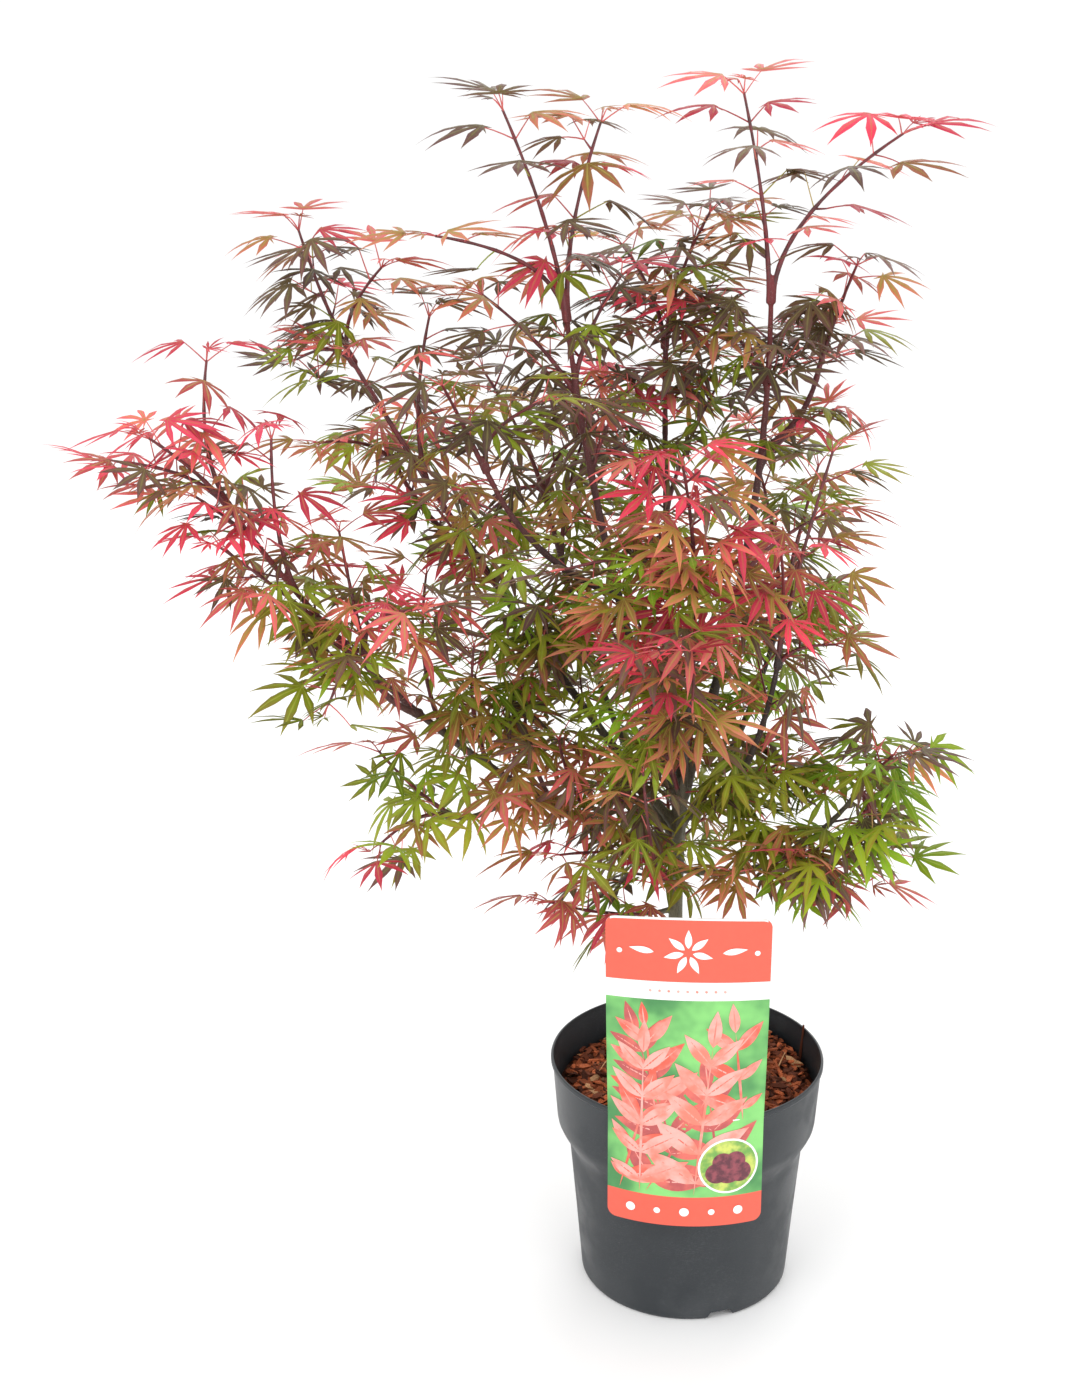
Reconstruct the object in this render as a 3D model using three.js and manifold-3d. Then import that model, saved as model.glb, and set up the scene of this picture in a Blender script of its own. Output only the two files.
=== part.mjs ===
import * as THREE from 'three';
import { mergeVertices } from 'three/addons/utils/BufferGeometryUtils.js';
import Module from 'manifold-3d';

// Potted japanese maple: a young tree in a round nursery pot with a plant card on the rim.
// Millimetres, +Z up. The pot stands on Z = 0 round the Z axis, and the card faces -Y.

const wasm = await Module();
wasm.setup();

const UP = new THREE.Vector3(0, 0, 1);
const BACKWARDS = new THREE.Vector3(0, 1, 0);
const GAP = 0.3;

// Round nursery pot with a deep collar.
const POT_HEIGHT = 168;
const RIM_RADIUS = 95;
const FOOT_RADIUS = 73.3;
const FOOT_ROUND = 3;
const BODY_TOP_RADIUS = 82;
const BODY_TOP_HEIGHT = 104;
const COLLAR_FOOT_RADIUS = 90.6;
const COLLAR_FOOT_HEIGHT = 122;
const COLLAR_TOP_RADIUS = 93.6;
const COLLAR_TOP_HEIGHT = 163;
const LIP_HEIGHT = 4;
const POT_WALL = 2;
const POT_FLOOR = 3;
const POT_SIDES = 32;

// Drain notches under the edge of the pot.
const DRAIN_COUNT = 3;
const DRAIN_FIRST_TURN = 21;
const DRAIN_WIDTH = 21;
const DRAIN_TOP_WIDTH = 14;
const DRAIN_HEIGHT = 5.5;
const DRAIN_DEPTH = 17;

// Compost with its flat middle where the trunk stands.
const SOIL_EDGE_HEIGHT = 138;
const SOIL_HEIGHT = 142.5;
const SOIL_FLAT_RADIUS = 22;

// Plant card, bent round the collar below the rim and nearly flat at its top.
const CARD_WIDTH = 106;
const CARD_BOTTOM = 90;
const CARD_TOP = 315;
const CARD_THICKNESS = 0.8;
const CARD_CORNER = 6;
const CARD_BEND_RADIUS = 112;
const CARD_TOP_BEND_RADIUS = 800;
const CARD_BEND_HEIGHT = 165;
const CARD_STANDOFF = 0.4;
const CARD_COLUMNS = 10;
const CARD_ROWS = 5;
const HOOK_TURN = 21;
const HOOK_WIDTH = 8;
const HOOK_THICKNESS = 1;
const HOOK_DROP = 11;
const HOOK_SUNK = 2.3;
const HOOK_CLEARANCE = 3;

// Trunk from the flat cut on the compost to its fork.
const TRUNK_FOOT = [-2, 2, SOIL_HEIGHT + GAP];
const TRUNK_TOP = [-6, 0, 362];
const TRUNK_BOW = [-5, -2, 0];
const TRUNK_FOOT_DIAMETER = 11.5;
const TRUNK_TOP_DIAMETER = 9;
const FLARE = 4.5;
const FLARE_HEIGHT = 13;

// Boughs: the limb each leaves, the share of the way along it, the tip (across, deep, high),
// how far the middle bows off the straight line, and the diameters at the base and the tip.
const BOUGHS = [
  ['right', 'trunk', 1, [45, 30, 686], [14, 5, 2], 8, 4.6],
  ['centre', 'trunk', 0.94, [-83, 10, 677], [-11, 0, 12], 7.4, 4.6],
  ['left_high', 'trunk', 0.88, [-225, 40, 644], [-5, -5, -2], 6.6, 4.6],
  ['left_low', 'trunk', 0.8, [-290, -60, 571], [-11, 0, -33], 6.6, 4.6],
  ['right_low', 'trunk', 0.76, [104, -60, 387], [4, -10, -18], 5.6, 4.6],
  ['back', 'trunk', 0.97, [-22, 75, 650], [-4, 22, 0], 6, 4.6],
  ['front', 'trunk', 0.85, [0, -95, 530], [0, -25, -20], 6, 4.6],
  ['right_back', 'trunk', 0.9, [66, 92, 490], [6, 12, -22], 6, 4.6],
  ['left_back', 'trunk', 0.83, [-105, 120, 535], [-6, 16, -22], 6, 4.6],
  ['front_right', 'trunk', 0.92, [52, -70, 476], [8, -14, -16], 5.6, 4.6],
  ['front_left', 'bough_centre', 0.42, [-130, -45, 592], [-8, -8, -8], 5.4, 4.6],
  ['right_high', 'bough_right', 0.7, [76, 44, 634], [5, 2, -4], 5, 4.6],
  ['left_side', 'bough_left_low', 0.56, [-205, -75, 482], [-4, -8, -4], 5.2, 4.6],
  ['left_under', 'bough_left_low', 0.33, [-158, -42, 360], [-4, -4, -8], 5, 4.6],
  ['left_mid', 'bough_left_high', 0.6, [-200, 52, 572], [-4, 4, -6], 5, 4.6],
];
const LIMB_SIDES = 6;
const LIMB_STEPS = 5;
const TRUNK_SIDES = 10;
const TRUNK_STEPS = 14;
const STEEP_SHARE = 0.8;

// Masses of foliage: the limb each grows from, its stem's tip (across, deep, high), how far its
// side twigs reach and, on the trunk only, the share of the way up.
const MASSES = [
  ['left_low_outer', 'bough_left_low', [-362, -50, 596], 42],
  ['left_low_top', 'bough_left_low', [-330, -85, 618], 44],
  ['left_low_shoot', 'bough_left_low', [-305, -30, 656], 44],
  ['left_side_high', 'bough_left_side', [-226, -30, 548], 50],
  ['left_side_low', 'bough_left_side', [-226, -92, 452], 50],
  ['left_side_front', 'bough_left_side', [-168, -118, 522], 52],
  ['left_under_outer', 'bough_left_under', [-206, -26, 398], 48],
  ['left_hanging', 'bough_left_under', [-200, -70, 350], 42],
  ['left_high_top', 'bough_left_high', [-258, 45, 728], 42],
  ['left_high_inner', 'bough_left_high', [-200, 15, 708], 44],
  ['left_high_outer', 'bough_left_high', [-268, 72, 640], 44],
  ['left_mid_outer', 'bough_left_mid', [-244, 12, 596], 46],
  ['left_mid_back', 'bough_left_mid', [-224, 112, 548], 52],
  ['back_left_top', 'bough_left_back', [-150, 140, 622], 54],
  ['back_left_outer', 'bough_left_back', [-172, 150, 492], 54],
  ['back_left_inner', 'bough_left_back', [-58, 165, 590], 54],
  ['front_left_top', 'bough_front_left', [-152, -78, 650], 48],
  ['front_left_inner', 'bough_front_left', [-92, -72, 640], 48],
  ['centre_left', 'bough_centre', [-160, -30, 732], 44],
  ['centre_leader_left', 'bough_centre', [-121, 0, 804], 42],
  ['centre_leader_mid', 'bough_centre', [-62, 18, 796], 42],
  ['right_leader', 'bough_right', [25, 30, 812], 42],
  ['right_arm', 'bough_right', [122, 20, 788], 42],
  ['back_top', 'bough_back', [6, 60, 738], 46],
  ['back_shoot', 'bough_back', [-53, 112, 712], 48],
  ['back_side', 'bough_back', [24, 145, 640], 54],
  ['right_high_top', 'bough_right_high', [96, 0, 712], 40],
  ['right_high_outer', 'bough_right_high', [86, 88, 662], 44],
  ['right_mid', 'bough_front_right', [84, -22, 600], 42],
  ['right_back_top', 'bough_right_back', [84, 122, 560], 46],
  ['right_back_low', 'bough_right_back', [76, 118, 420], 50],
  ['front_right_top', 'bough_front_right', [50, -122, 560], 48],
  ['front_right_outer', 'bough_front_right', [88, -58, 486], 46],
  ['front_top', 'bough_front', [-8, -122, 612], 48],
  ['front_side', 'bough_front', [-76, -132, 552], 50],
  ['front_low', 'bough_front', [0, -142, 476], 50],
  ['right_low_top', 'bough_right_low', [124, -86, 424], 44],
  ['right_low_outer', 'bough_right_low', [116, -60, 334], 46],
  ['trunk_left', 'trunk', [-92, -56, 306], 48, 0.62],
  ['trunk_back', 'trunk', [-20, 112, 392], 54, 0.7],
  ['trunk_front', 'trunk', [-30, -92, 412], 48, 0.74],
];

// Growth of a mass: crossed pairs of twigs along one stem, with a leaf at the end of each.
const STEM_DIAMETER = 2.8;
const STEM_TIP_DIAMETER = 2.2;
const STEM_OFFSET = 1.9;
const STEM_STEPS = 3;
const STEM_START_SHARE = 0.4;
const TWIG_DIAMETER = 0.9;
const TWIG_SIDES = 3;
const NODE_COUNT = 5;
const FIRST_NODE = 0.25;
const LAST_NODE = 0.88;
const TWIG_TURN_SPREAD = 0.8;
const TWIG_FORWARD = 0.5;
const TWIG_LIFT = 0.2;
const TWIG_SHORTENING = 0.4;
const TIP_LEAVES = 2;
const TIP_LEAF_FORWARD = 0.8;
const MOST_LEAVES = 8;

// Palmate leaf: each lobe's turn from the midrib in degrees and its share of the leaf's length.
const LEAF_LENGTH = 47;
const LEAF_THICKNESS = 1.4;
const PETIOLE_LENGTH = 20;
const SHOULDER = 1.8;
const LEAF_LOBES = [[-84, 0.7], [-42, 0.94], [0, 1], [42, 0.94], [84, 0.7]];
const LEAF_CUT = 0.25;
const LOBE_HALF_WIDTH = 4.5;
const DROOP_LOW = 42;
const DROOP_HIGH = 6;
const DROOP_LOW_HEIGHT = 300;
const DROOP_HIGH_HEIGHT = 740;
const DROOP_SPREAD = 24;
const HEADING_SPREAD = 50;
const ROLL_SPREAD = 40;

// A leaf that doesn't fit turns to free space or grows smaller, in this order:
// share of its twig's length, share of its size, degrees that it turns.
const TRIES = [
  [1, 1, 0],
  [0.8, 1, 40],
  [0.8, 1, -40],
  [0.5, 0.85, 0],
  [0.6, 0.8, 80],
  [0.6, 0.8, -80],
  [0.3, 0.7, 30],
  [0.3, 0.7, -30],
];

// Clearances that keep a mass to its own space.
const SPACE_MARGIN = 0.9;
const LEAF_CLEARANCE = 3;
const LIMB_CLEARANCE = 1.2;
const POT_CLEARANCE = 8;

const COLOURS = {
  pot: 0x33363a,
  soil: 0x4a2a1c,
  card: 0xe8614a,
  bark: 0x4a3b36,
  greenLeaf: 0x5c7034,
  bronzeLeaf: 0x6d4a3c,
  redLeaf: 0xb23a45,
};

const radians = THREE.MathUtils.degToRad;
const lerp = THREE.MathUtils.lerp;
const vector = (place) => new THREE.Vector3(...place);

// A repeatable number from 0 to 1 for up to four whole-number keys.
function chance(...keys) {
  const weights = [12.9898, 78.233, 37.719, 9.151];
  const mixed = keys.reduce((sum, key, place) => sum + key * weights[place], 0);
  const scattered = Math.sin(mixed) * 43758.5453;
  return scattered - Math.floor(scattered);
}

// A closed solid from a geometry, with shared corners merged and collapsed faces left out.
function solidOf(geometry) {
  const bare = geometry.clone();
  bare.deleteAttribute('normal');
  bare.deleteAttribute('uv');
  const merged = mergeVertices(bare, 1e-4);
  const corners = merged.index.array;
  const faces = [];
  for (let k = 0; k < corners.length; k += 3) {
    const [a, b, c] = corners.slice(k, k + 3);
    if (a !== b && b !== c && c !== a) faces.push(a, b, c);
  }
  return new wasm.Manifold(new wasm.Mesh({
    numProp: 3,
    vertProperties: new Float32Array(merged.attributes.position.array),
    triVerts: new Uint32Array(faces),
  }));
}

// The largest whole piece of a solid, without loose scraps and sealed hollows.
function mainPiece(solid) {
  const pieces = solid.decompose();
  return pieces.reduce((best, piece) => (piece.volume() > best.volume() ? piece : best));
}

function geometryOf(solid) {
  const mesh = solid.getMesh();
  const places = new Float32Array(mesh.numVert * 3);
  for (let k = 0; k < mesh.numVert; k += 1) {
    for (let axis = 0; axis < 3; axis += 1) {
      places[k * 3 + axis] = mesh.vertProperties[k * mesh.numProp + axis];
    }
  }
  const geometry = new THREE.BufferGeometry();
  geometry.setAttribute('position', new THREE.BufferAttribute(places, 3));
  geometry.setIndex(new THREE.BufferAttribute(new Uint32Array(mesh.triVerts), 1));
  geometry.computeVertexNormals();
  return geometry;
}

function node(name, solid, colour, roughness) {
  const material = new THREE.MeshStandardMaterial({ color: colour, roughness, metalness: 0 });
  const mesh = new THREE.Mesh(geometryOf(solid), material);
  mesh.name = name;
  return mesh;
}

// A solid turned round the Z axis from a profile of [radius, height] pairs.
function turned(profile, sides) {
  const points = profile.map(([radius, height]) => new THREE.Vector2(radius, height));
  return new THREE.LatheGeometry(points, sides).rotateX(Math.PI / 2);
}

// The outside of the rounded step from the body out to the collar.
function collarStep(share) {
  const radius = lerp(BODY_TOP_RADIUS, COLLAR_FOOT_RADIUS, THREE.MathUtils.smoothstep(share, 0, 1));
  return [radius, lerp(BODY_TOP_HEIGHT, COLLAR_FOOT_HEIGHT, share)];
}

// The collar's outer radius at a height.
function collarRadius(height) {
  const share = (height - COLLAR_FOOT_HEIGHT) / (COLLAR_TOP_HEIGHT - COLLAR_FOOT_HEIGHT);
  return lerp(COLLAR_FOOT_RADIUS, COLLAR_TOP_RADIUS, share);
}

// The pot's inner wall from its floor up to the collar, moved inwards by some clearance.
function innerWall(clearance) {
  const inset = POT_WALL + clearance;
  const step = [0, 0.5, 1].map((share) => collarStep(share));
  return [
    [FOOT_RADIUS - inset - FOOT_ROUND, POT_FLOOR + clearance],
    [FOOT_RADIUS - inset, POT_FLOOR + FOOT_ROUND],
    ...step.map(([radius, height]) => [radius - inset, height + POT_WALL]),
  ];
}

// A drain notch's outline grown by some clearance, run in from the edge of the foot.
function drainBlock(turn, grown) {
  const half = DRAIN_WIDTH / 2 + grown;
  const topHalf = DRAIN_TOP_WIDTH / 2 + grown;
  const top = DRAIN_HEIGHT + grown;
  const outline = new THREE.Shape([
    new THREE.Vector2(-half, -1),
    new THREE.Vector2(half, -1),
    new THREE.Vector2(topHalf, top),
    new THREE.Vector2(-topHalf, top),
  ]);
  const length = DRAIN_DEPTH + grown + 2;
  const block = new THREE.ExtrudeGeometry(outline, { depth: length, bevelEnabled: false, steps: 1 });
  block.rotateX(Math.PI / 2);
  block.translate(0, length - FOOT_RADIUS - 2, 0);
  return block.rotateZ(radians(turn));
}

function drainTurns() {
  return Array.from({ length: DRAIN_COUNT }, (_, k) => DRAIN_FIRST_TURN + k * 360 / DRAIN_COUNT);
}

function makePot() {
  const lipFoot = POT_HEIGHT - LIP_HEIGHT;
  const outer = [
    [0, 0],
    [FOOT_RADIUS - FOOT_ROUND, 0],
    [FOOT_RADIUS, FOOT_ROUND],
    ...[0, 0.5, 1].map((share) => collarStep(share)),
    [COLLAR_TOP_RADIUS, COLLAR_TOP_HEIGHT],
    [RIM_RADIUS, lipFoot + 1],
    [RIM_RADIUS, POT_HEIGHT - 1],
    [RIM_RADIUS - 0.8, POT_HEIGHT],
    [RIM_RADIUS - POT_WALL, POT_HEIGHT],
  ];
  const inner = [...innerWall(0), [COLLAR_TOP_RADIUS - POT_WALL, COLLAR_TOP_HEIGHT]].reverse();
  let pot = solidOf(turned([...outer, ...inner, [0, POT_FLOOR]], POT_SIDES));
  const envelope = solidOf(turned([...outer, [0, POT_HEIGHT]], POT_SIDES));
  for (const turn of drainTurns()) {
    pot = pot.add(solidOf(drainBlock(turn, POT_WALL)).intersect(envelope));
  }
  for (const turn of drainTurns()) pot = pot.subtract(solidOf(drainBlock(turn, 0)));
  return pot;
}

function makeSoil() {
  const edge = collarRadius(SOIL_EDGE_HEIGHT - POT_WALL) - POT_WALL - GAP;
  const dome = [0, 0.5, 1].map((share) => [
    lerp(edge, SOIL_FLAT_RADIUS, share),
    lerp(SOIL_EDGE_HEIGHT, SOIL_HEIGHT, Math.sin(share * Math.PI / 2)),
  ]);
  const profile = [[0, POT_FLOOR + GAP], ...innerWall(GAP), ...dome, [0, SOIL_HEIGHT]];
  let soil = solidOf(turned(profile, POT_SIDES));
  for (const turn of drainTurns()) {
    soil = soil.subtract(solidOf(drainBlock(turn, POT_WALL + GAP)));
  }
  return soil;
}

// The radius to which the card is bent at a height.
function cardBend(height) {
  const share = THREE.MathUtils.clamp((height - CARD_BEND_HEIGHT) / (CARD_TOP - CARD_BEND_HEIGHT), 0, 1);
  return 1 / lerp(1 / CARD_BEND_RADIUS, 1 / CARD_TOP_BEND_RADIUS, share);
}

// A point of the card at a distance across, a height and a depth into its thickness.
function cardPoint(across, height, depth) {
  const bend = cardBend(height);
  const angle = across / bend;
  const back = RIM_RADIUS + CARD_STANDOFF;
  const radius = bend + depth;
  return new THREE.Vector3(radius * Math.sin(angle), bend - back - radius * Math.cos(angle), height);
}

// How far a rounded corner takes the card's end in at a distance across.
function cardCorner(across) {
  const into = Math.max(0, Math.abs(across) - (CARD_WIDTH / 2 - CARD_CORNER));
  return CARD_CORNER - Math.sqrt(Math.max(0, CARD_CORNER ** 2 - into ** 2));
}

function cardSheet() {
  const box = new THREE.BoxGeometry(CARD_WIDTH, CARD_THICKNESS, 1, CARD_COLUMNS, 1, CARD_ROWS);
  const places = box.attributes.position;
  for (let k = 0; k < places.count; k += 1) {
    const even = places.getX(k) / CARD_WIDTH * 2;
    const across = Math.sin(even * Math.PI / 2) * CARD_WIDTH / 2;
    const taken = cardCorner(across);
    const height = lerp(CARD_BOTTOM + taken, CARD_TOP - taken, places.getZ(k) + 0.5);
    const depth = CARD_THICKNESS / 2 - places.getY(k);
    places.setXYZ(k, ...cardPoint(across, height, depth));
  }
  return box;
}

// A hook that runs from the card's back over the rim and down inside the pot.
function cardHook(turn) {
  const seat = POT_HEIGHT + GAP;
  const outside = RIM_RADIUS + HOOK_SUNK;
  const legOutside = RIM_RADIUS - POT_WALL - HOOK_CLEARANCE;
  const legInside = legOutside - HOOK_THICKNESS;
  const outline = new THREE.Shape([
    new THREE.Vector2(outside, seat),
    new THREE.Vector2(outside, seat + HOOK_THICKNESS),
    new THREE.Vector2(legInside, seat + HOOK_THICKNESS),
    new THREE.Vector2(legInside, seat - HOOK_DROP),
    new THREE.Vector2(legOutside, seat - HOOK_DROP),
    new THREE.Vector2(legOutside, seat),
  ]);
  const hook = new THREE.ExtrudeGeometry(outline, { depth: HOOK_WIDTH, bevelEnabled: false, steps: 1 });
  hook.translate(0, 0, -HOOK_WIDTH / 2);
  return hook.rotateX(Math.PI / 2).rotateZ(radians(turn - 90));
}

function makeCard() {
  let card = solidOf(cardSheet());
  for (const turn of [-HOOK_TURN, HOOK_TURN]) card = card.add(solidOf(cardHook(turn)));
  return card;
}

// A limb's centre line from its start to its tip with its middle bowed off the straight line.
function limbCurve(start, tip, bow) {
  const control = start.clone().add(tip).multiplyScalar(0.5).addScaledVector(bow, 2);
  return new THREE.QuadraticBezierCurve3(start, control, tip);
}

// A curve's direction at a share of its way and two directions across it. They turn with the
// curve and never flip over: a steep curve takes them from the Y axis, any other from Z.
function crossFrame(curve, share) {
  const tangent = curve.getTangent(share);
  const chord = curve.getPoint(1).sub(curve.getPoint(0));
  const steep = Math.abs(chord.z) > STEEP_SHARE * chord.length();
  const level = new THREE.Vector3().crossVectors(tangent, steep ? BACKWARDS : UP).normalize();
  const lifted = new THREE.Vector3().crossVectors(level, tangent);
  return [tangent, level, lifted];
}

// A closed tube along a curve, with a radius that follows the share of the way.
function taperedTube(curve, radiusAt, sides, steps, grown = 0) {
  const tube = new THREE.CylinderGeometry(1, 1, 1, sides, steps);
  const places = tube.attributes.position;
  const point = new THREE.Vector3();
  for (let k = 0; k < places.count; k += 1) {
    const share = THREE.MathUtils.clamp(places.getY(k) + 0.5, 0, 1);
    const [tangent, level, lifted] = crossFrame(curve, share);
    const radius = radiusAt(share) + grown;
    point.copy(curve.getPoint(share));
    point.addScaledVector(level, places.getX(k) * radius);
    point.addScaledVector(lifted, places.getZ(k) * radius);
    if (share === 1) point.addScaledVector(tangent, grown);
    places.setXYZ(k, ...point);
  }
  return tube;
}

function makeTrunk() {
  const foot = vector(TRUNK_FOOT);
  const curve = limbCurve(foot, vector(TRUNK_TOP), vector(TRUNK_BOW));
  const height = TRUNK_TOP[2] - TRUNK_FOOT[2];
  const radiusAt = (share) => {
    const flare = FLARE * Math.exp(-share * height / FLARE_HEIGHT);
    return lerp(TRUNK_FOOT_DIAMETER, TRUNK_TOP_DIAMETER, share) / 2 + flare;
  };
  const tube = taperedTube(curve, radiusAt, TRUNK_SIDES, TRUNK_STEPS);
  const places = tube.attributes.position;
  for (let k = 0; k < places.count; k += 1) {
    if (places.getZ(k) < foot.z + height / TRUNK_STEPS / 2) places.setZ(k, foot.z);
  }
  const grown = taperedTube(curve, radiusAt, TRUNK_SIDES, TRUNK_STEPS, GAP);
  return { name: 'trunk', curve, radiusAt, geometry: tube, grown };
}

function makeBough([name, parentName, share, tip, bow, baseDiameter, tipDiameter], limbs) {
  const parent = limbs.find((limb) => limb.name === parentName);
  const curve = limbCurve(parent.curve.getPoint(share), vector(tip), vector(bow));
  const radiusAt = (along) => lerp(baseDiameter, tipDiameter, along) / 2;
  return {
    name: `bough_${name}`,
    curve,
    radiusAt,
    geometry: taperedTube(curve, radiusAt, LIMB_SIDES, LIMB_STEPS),
    grown: taperedTube(curve, radiusAt, LIMB_SIDES, LIMB_STEPS, GAP),
  };
}

// Every limb as a solid of its own, each cut clear of the ones that it leaves or passes.
function makeLimbs() {
  const limbs = [makeTrunk()];
  for (const row of BOUGHS) limbs.push(makeBough(row, limbs));
  limbs.forEach((limb, place) => {
    const cutBy = (solid, other) => solid.subtract(solidOf(other.grown));
    limb.solid = mainPiece(limbs.slice(0, place).reduce(cutBy, solidOf(limb.geometry)));
    limb.segments = segmentsOf(limb.curve, LIMB_STEPS, limb.radiusAt);
  });
  return limbs;
}

function segmentsOf(curve, steps, radiusAt) {
  return Array.from({ length: steps }, (_, k) => ({
    from: curve.getPoint(k / steps),
    to: curve.getPoint((k + 1) / steps),
    radius: radiusAt(k / steps),
  }));
}

// Where a mass's stem starts: on its bough's end face, spread round it with its neighbours,
// or square off the side of the trunk.
function stemStart(row, limb) {
  const [, limbName, tip, , share] = row;
  if (share !== undefined) {
    const centre = limb.curve.getPoint(share);
    const axis = limb.curve.getTangent(share);
    const out = vector(tip).sub(centre);
    out.addScaledVector(axis, -out.dot(axis)).normalize();
    return [centre.addScaledVector(out, limb.radiusAt(share) + GAP), out];
  }
  const [along, level, lifted] = crossFrame(limb.curve, 1);
  const start = limb.curve.getPoint(1).addScaledVector(along, GAP);
  const turnOf = (other) => {
    const away = vector(other[2]).sub(limb.curve.getPoint(1));
    return Math.atan2(away.dot(lifted), away.dot(level));
  };
  const siblings = MASSES.filter((other) => other[1] === limbName).sort((a, b) => turnOf(a) - turnOf(b));
  if (siblings.length > 1) {
    const spread = 2 * Math.PI / siblings.length;
    const first = siblings.reduce((sum, other, k) => sum + turnOf(other) - k * spread, 0) / siblings.length;
    const turn = first + siblings.indexOf(row) * spread;
    start.addScaledVector(level, Math.cos(turn) * STEM_OFFSET);
    start.addScaledVector(lifted, Math.sin(turn) * STEM_OFFSET);
  }
  return [start, along];
}

function makeStem(row, limbs) {
  const limb = limbs.find((other) => other.name === row[1]);
  const [start, along] = stemStart(row, limb);
  const tip = vector(row[2]);
  const control = start.clone().addScaledVector(along, STEM_START_SHARE * start.distanceTo(tip));
  return new THREE.QuadraticBezierCurve3(start, control, tip);
}

function distanceToSegment(point, { from, to }) {
  return new THREE.Line3(from, to).closestPointToPoint(point, true, new THREE.Vector3()).distanceTo(point);
}

function distanceToPath(point, segments) {
  return Math.min(...segments.map((segment) => distanceToSegment(point, segment)));
}

// Even points along a straight stretch.
function pointsAlong({ from, to }, steps) {
  return Array.from({ length: steps + 1 }, (_, k) => from.clone().lerp(to, k / steps));
}

function stretchDistance(stretch, segment) {
  return Math.min(...pointsAlong(stretch, 6).map((point) => distanceToSegment(point, segment)));
}

// Whether a disc round a point lies in a mass's own space: nearer its stem than any other mass's.
function inOwnSpace(point, radius, mass, masses) {
  const own = distanceToPath(point, mass.segments) + 2 * (radius + SPACE_MARGIN);
  return masses.every((other) => other === mass || distanceToPath(point, other.segments) >= own);
}

function clearOfPot(point) {
  const byPot = Math.hypot(point.x, point.y) < RIM_RADIUS + POT_CLEARANCE;
  if (byPot && point.z < POT_HEIGHT + POT_CLEARANCE) return false;
  const aside = Math.abs(point.x) > CARD_WIDTH / 2 + POT_CLEARANCE;
  const behind = point.y > -RIM_RADIUS + 2 * POT_CLEARANCE;
  return aside || behind || point.z > CARD_TOP + POT_CLEARANCE;
}

// Whether a twig or a lobe keeps to its mass's space, clear of limbs, pot and card. Either is
// taken as widest a quarter of the way along and pointed at its end.
function fits(stretch, width, mass, masses, limbs) {
  const inside = (point, place) => {
    const radius = width * Math.min(1, (4 - place) / 3);
    return clearOfPot(point) && inOwnSpace(point, radius, mass, masses);
  };
  if (!pointsAlong(stretch, 4).every(inside)) return false;
  return limbs.every((limb) => limb.segments.every((segment) => (
    stretchDistance(stretch, segment) > segment.radius + width + LIMB_CLEARANCE)));
}

// A leaf at the end of a straight twig: its palm, and its midrib, side and face directions.
function leafOn(root, heading, length, size, keys) {
  const level = Math.atan2(heading.y, heading.x) + radians(HEADING_SPREAD) * (chance(...keys, 1) - 0.5);
  const height = (root.z - DROOP_LOW_HEIGHT) / (DROOP_HIGH_HEIGHT - DROOP_LOW_HEIGHT);
  const usualDroop = lerp(DROOP_LOW, DROOP_HIGH, THREE.MathUtils.clamp(height, 0, 1));
  const droop = radians(usualDroop + DROOP_SPREAD * (chance(...keys, 2) - 0.5));
  const roll = radians(ROLL_SPREAD) * (chance(...keys, 3) - 0.5);
  const midrib = new THREE.Vector3(Math.cos(level), Math.sin(level), 0).multiplyScalar(Math.cos(droop));
  midrib.addScaledVector(UP, -Math.sin(droop));
  const side = new THREE.Vector3(-Math.sin(level), Math.cos(level), 0);
  const face = new THREE.Vector3().crossVectors(midrib, side);
  side.multiplyScalar(Math.cos(roll)).addScaledVector(face, Math.sin(roll));
  face.crossVectors(midrib, side).normalize();
  const palm = root.clone().addScaledVector(heading, length);
  return { root, heading, palm, midrib, side, face, size: size * LEAF_LENGTH };
}

// A point of the leaf's blade at a turn from its midrib and a distance from its palm.
function bladePoint({ palm, midrib, side }, turn, distance) {
  const point = palm.clone().addScaledVector(midrib, Math.cos(radians(turn)) * distance);
  return point.addScaledVector(side, Math.sin(radians(turn)) * distance);
}

function lobeTips(leaf) {
  return LEAF_LOBES.map(([turn, share]) => bladePoint(leaf, turn, share * leaf.size));
}

function leafStretches(leaf) {
  const lobes = lobeTips(leaf).map((tip) => ({ from: leaf.palm, to: tip }));
  return [{ from: leaf.root, to: leaf.palm }, ...lobes];
}

function leafFits(leaf, mass, masses, limbs) {
  const [twig, ...lobes] = leafStretches(leaf);
  if (!fits(twig, TWIG_DIAMETER / 2, mass, masses, limbs)) return false;
  if (!lobes.every((lobe) => fits(lobe, LOBE_HALF_WIDTH, mass, masses, limbs))) return false;
  const apart = (some, others) => some.every((one) => others.every((other) => (
    stretchDistance(one, other) > LEAF_CLEARANCE)));
  return apart(lobes, mass.segments) && mass.leaves.every((other) => {
    const [otherTwig, ...otherLobes] = leafStretches(other);
    return apart(lobes, [otherTwig, ...otherLobes]) && apart([twig], otherLobes);
  });
}

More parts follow.
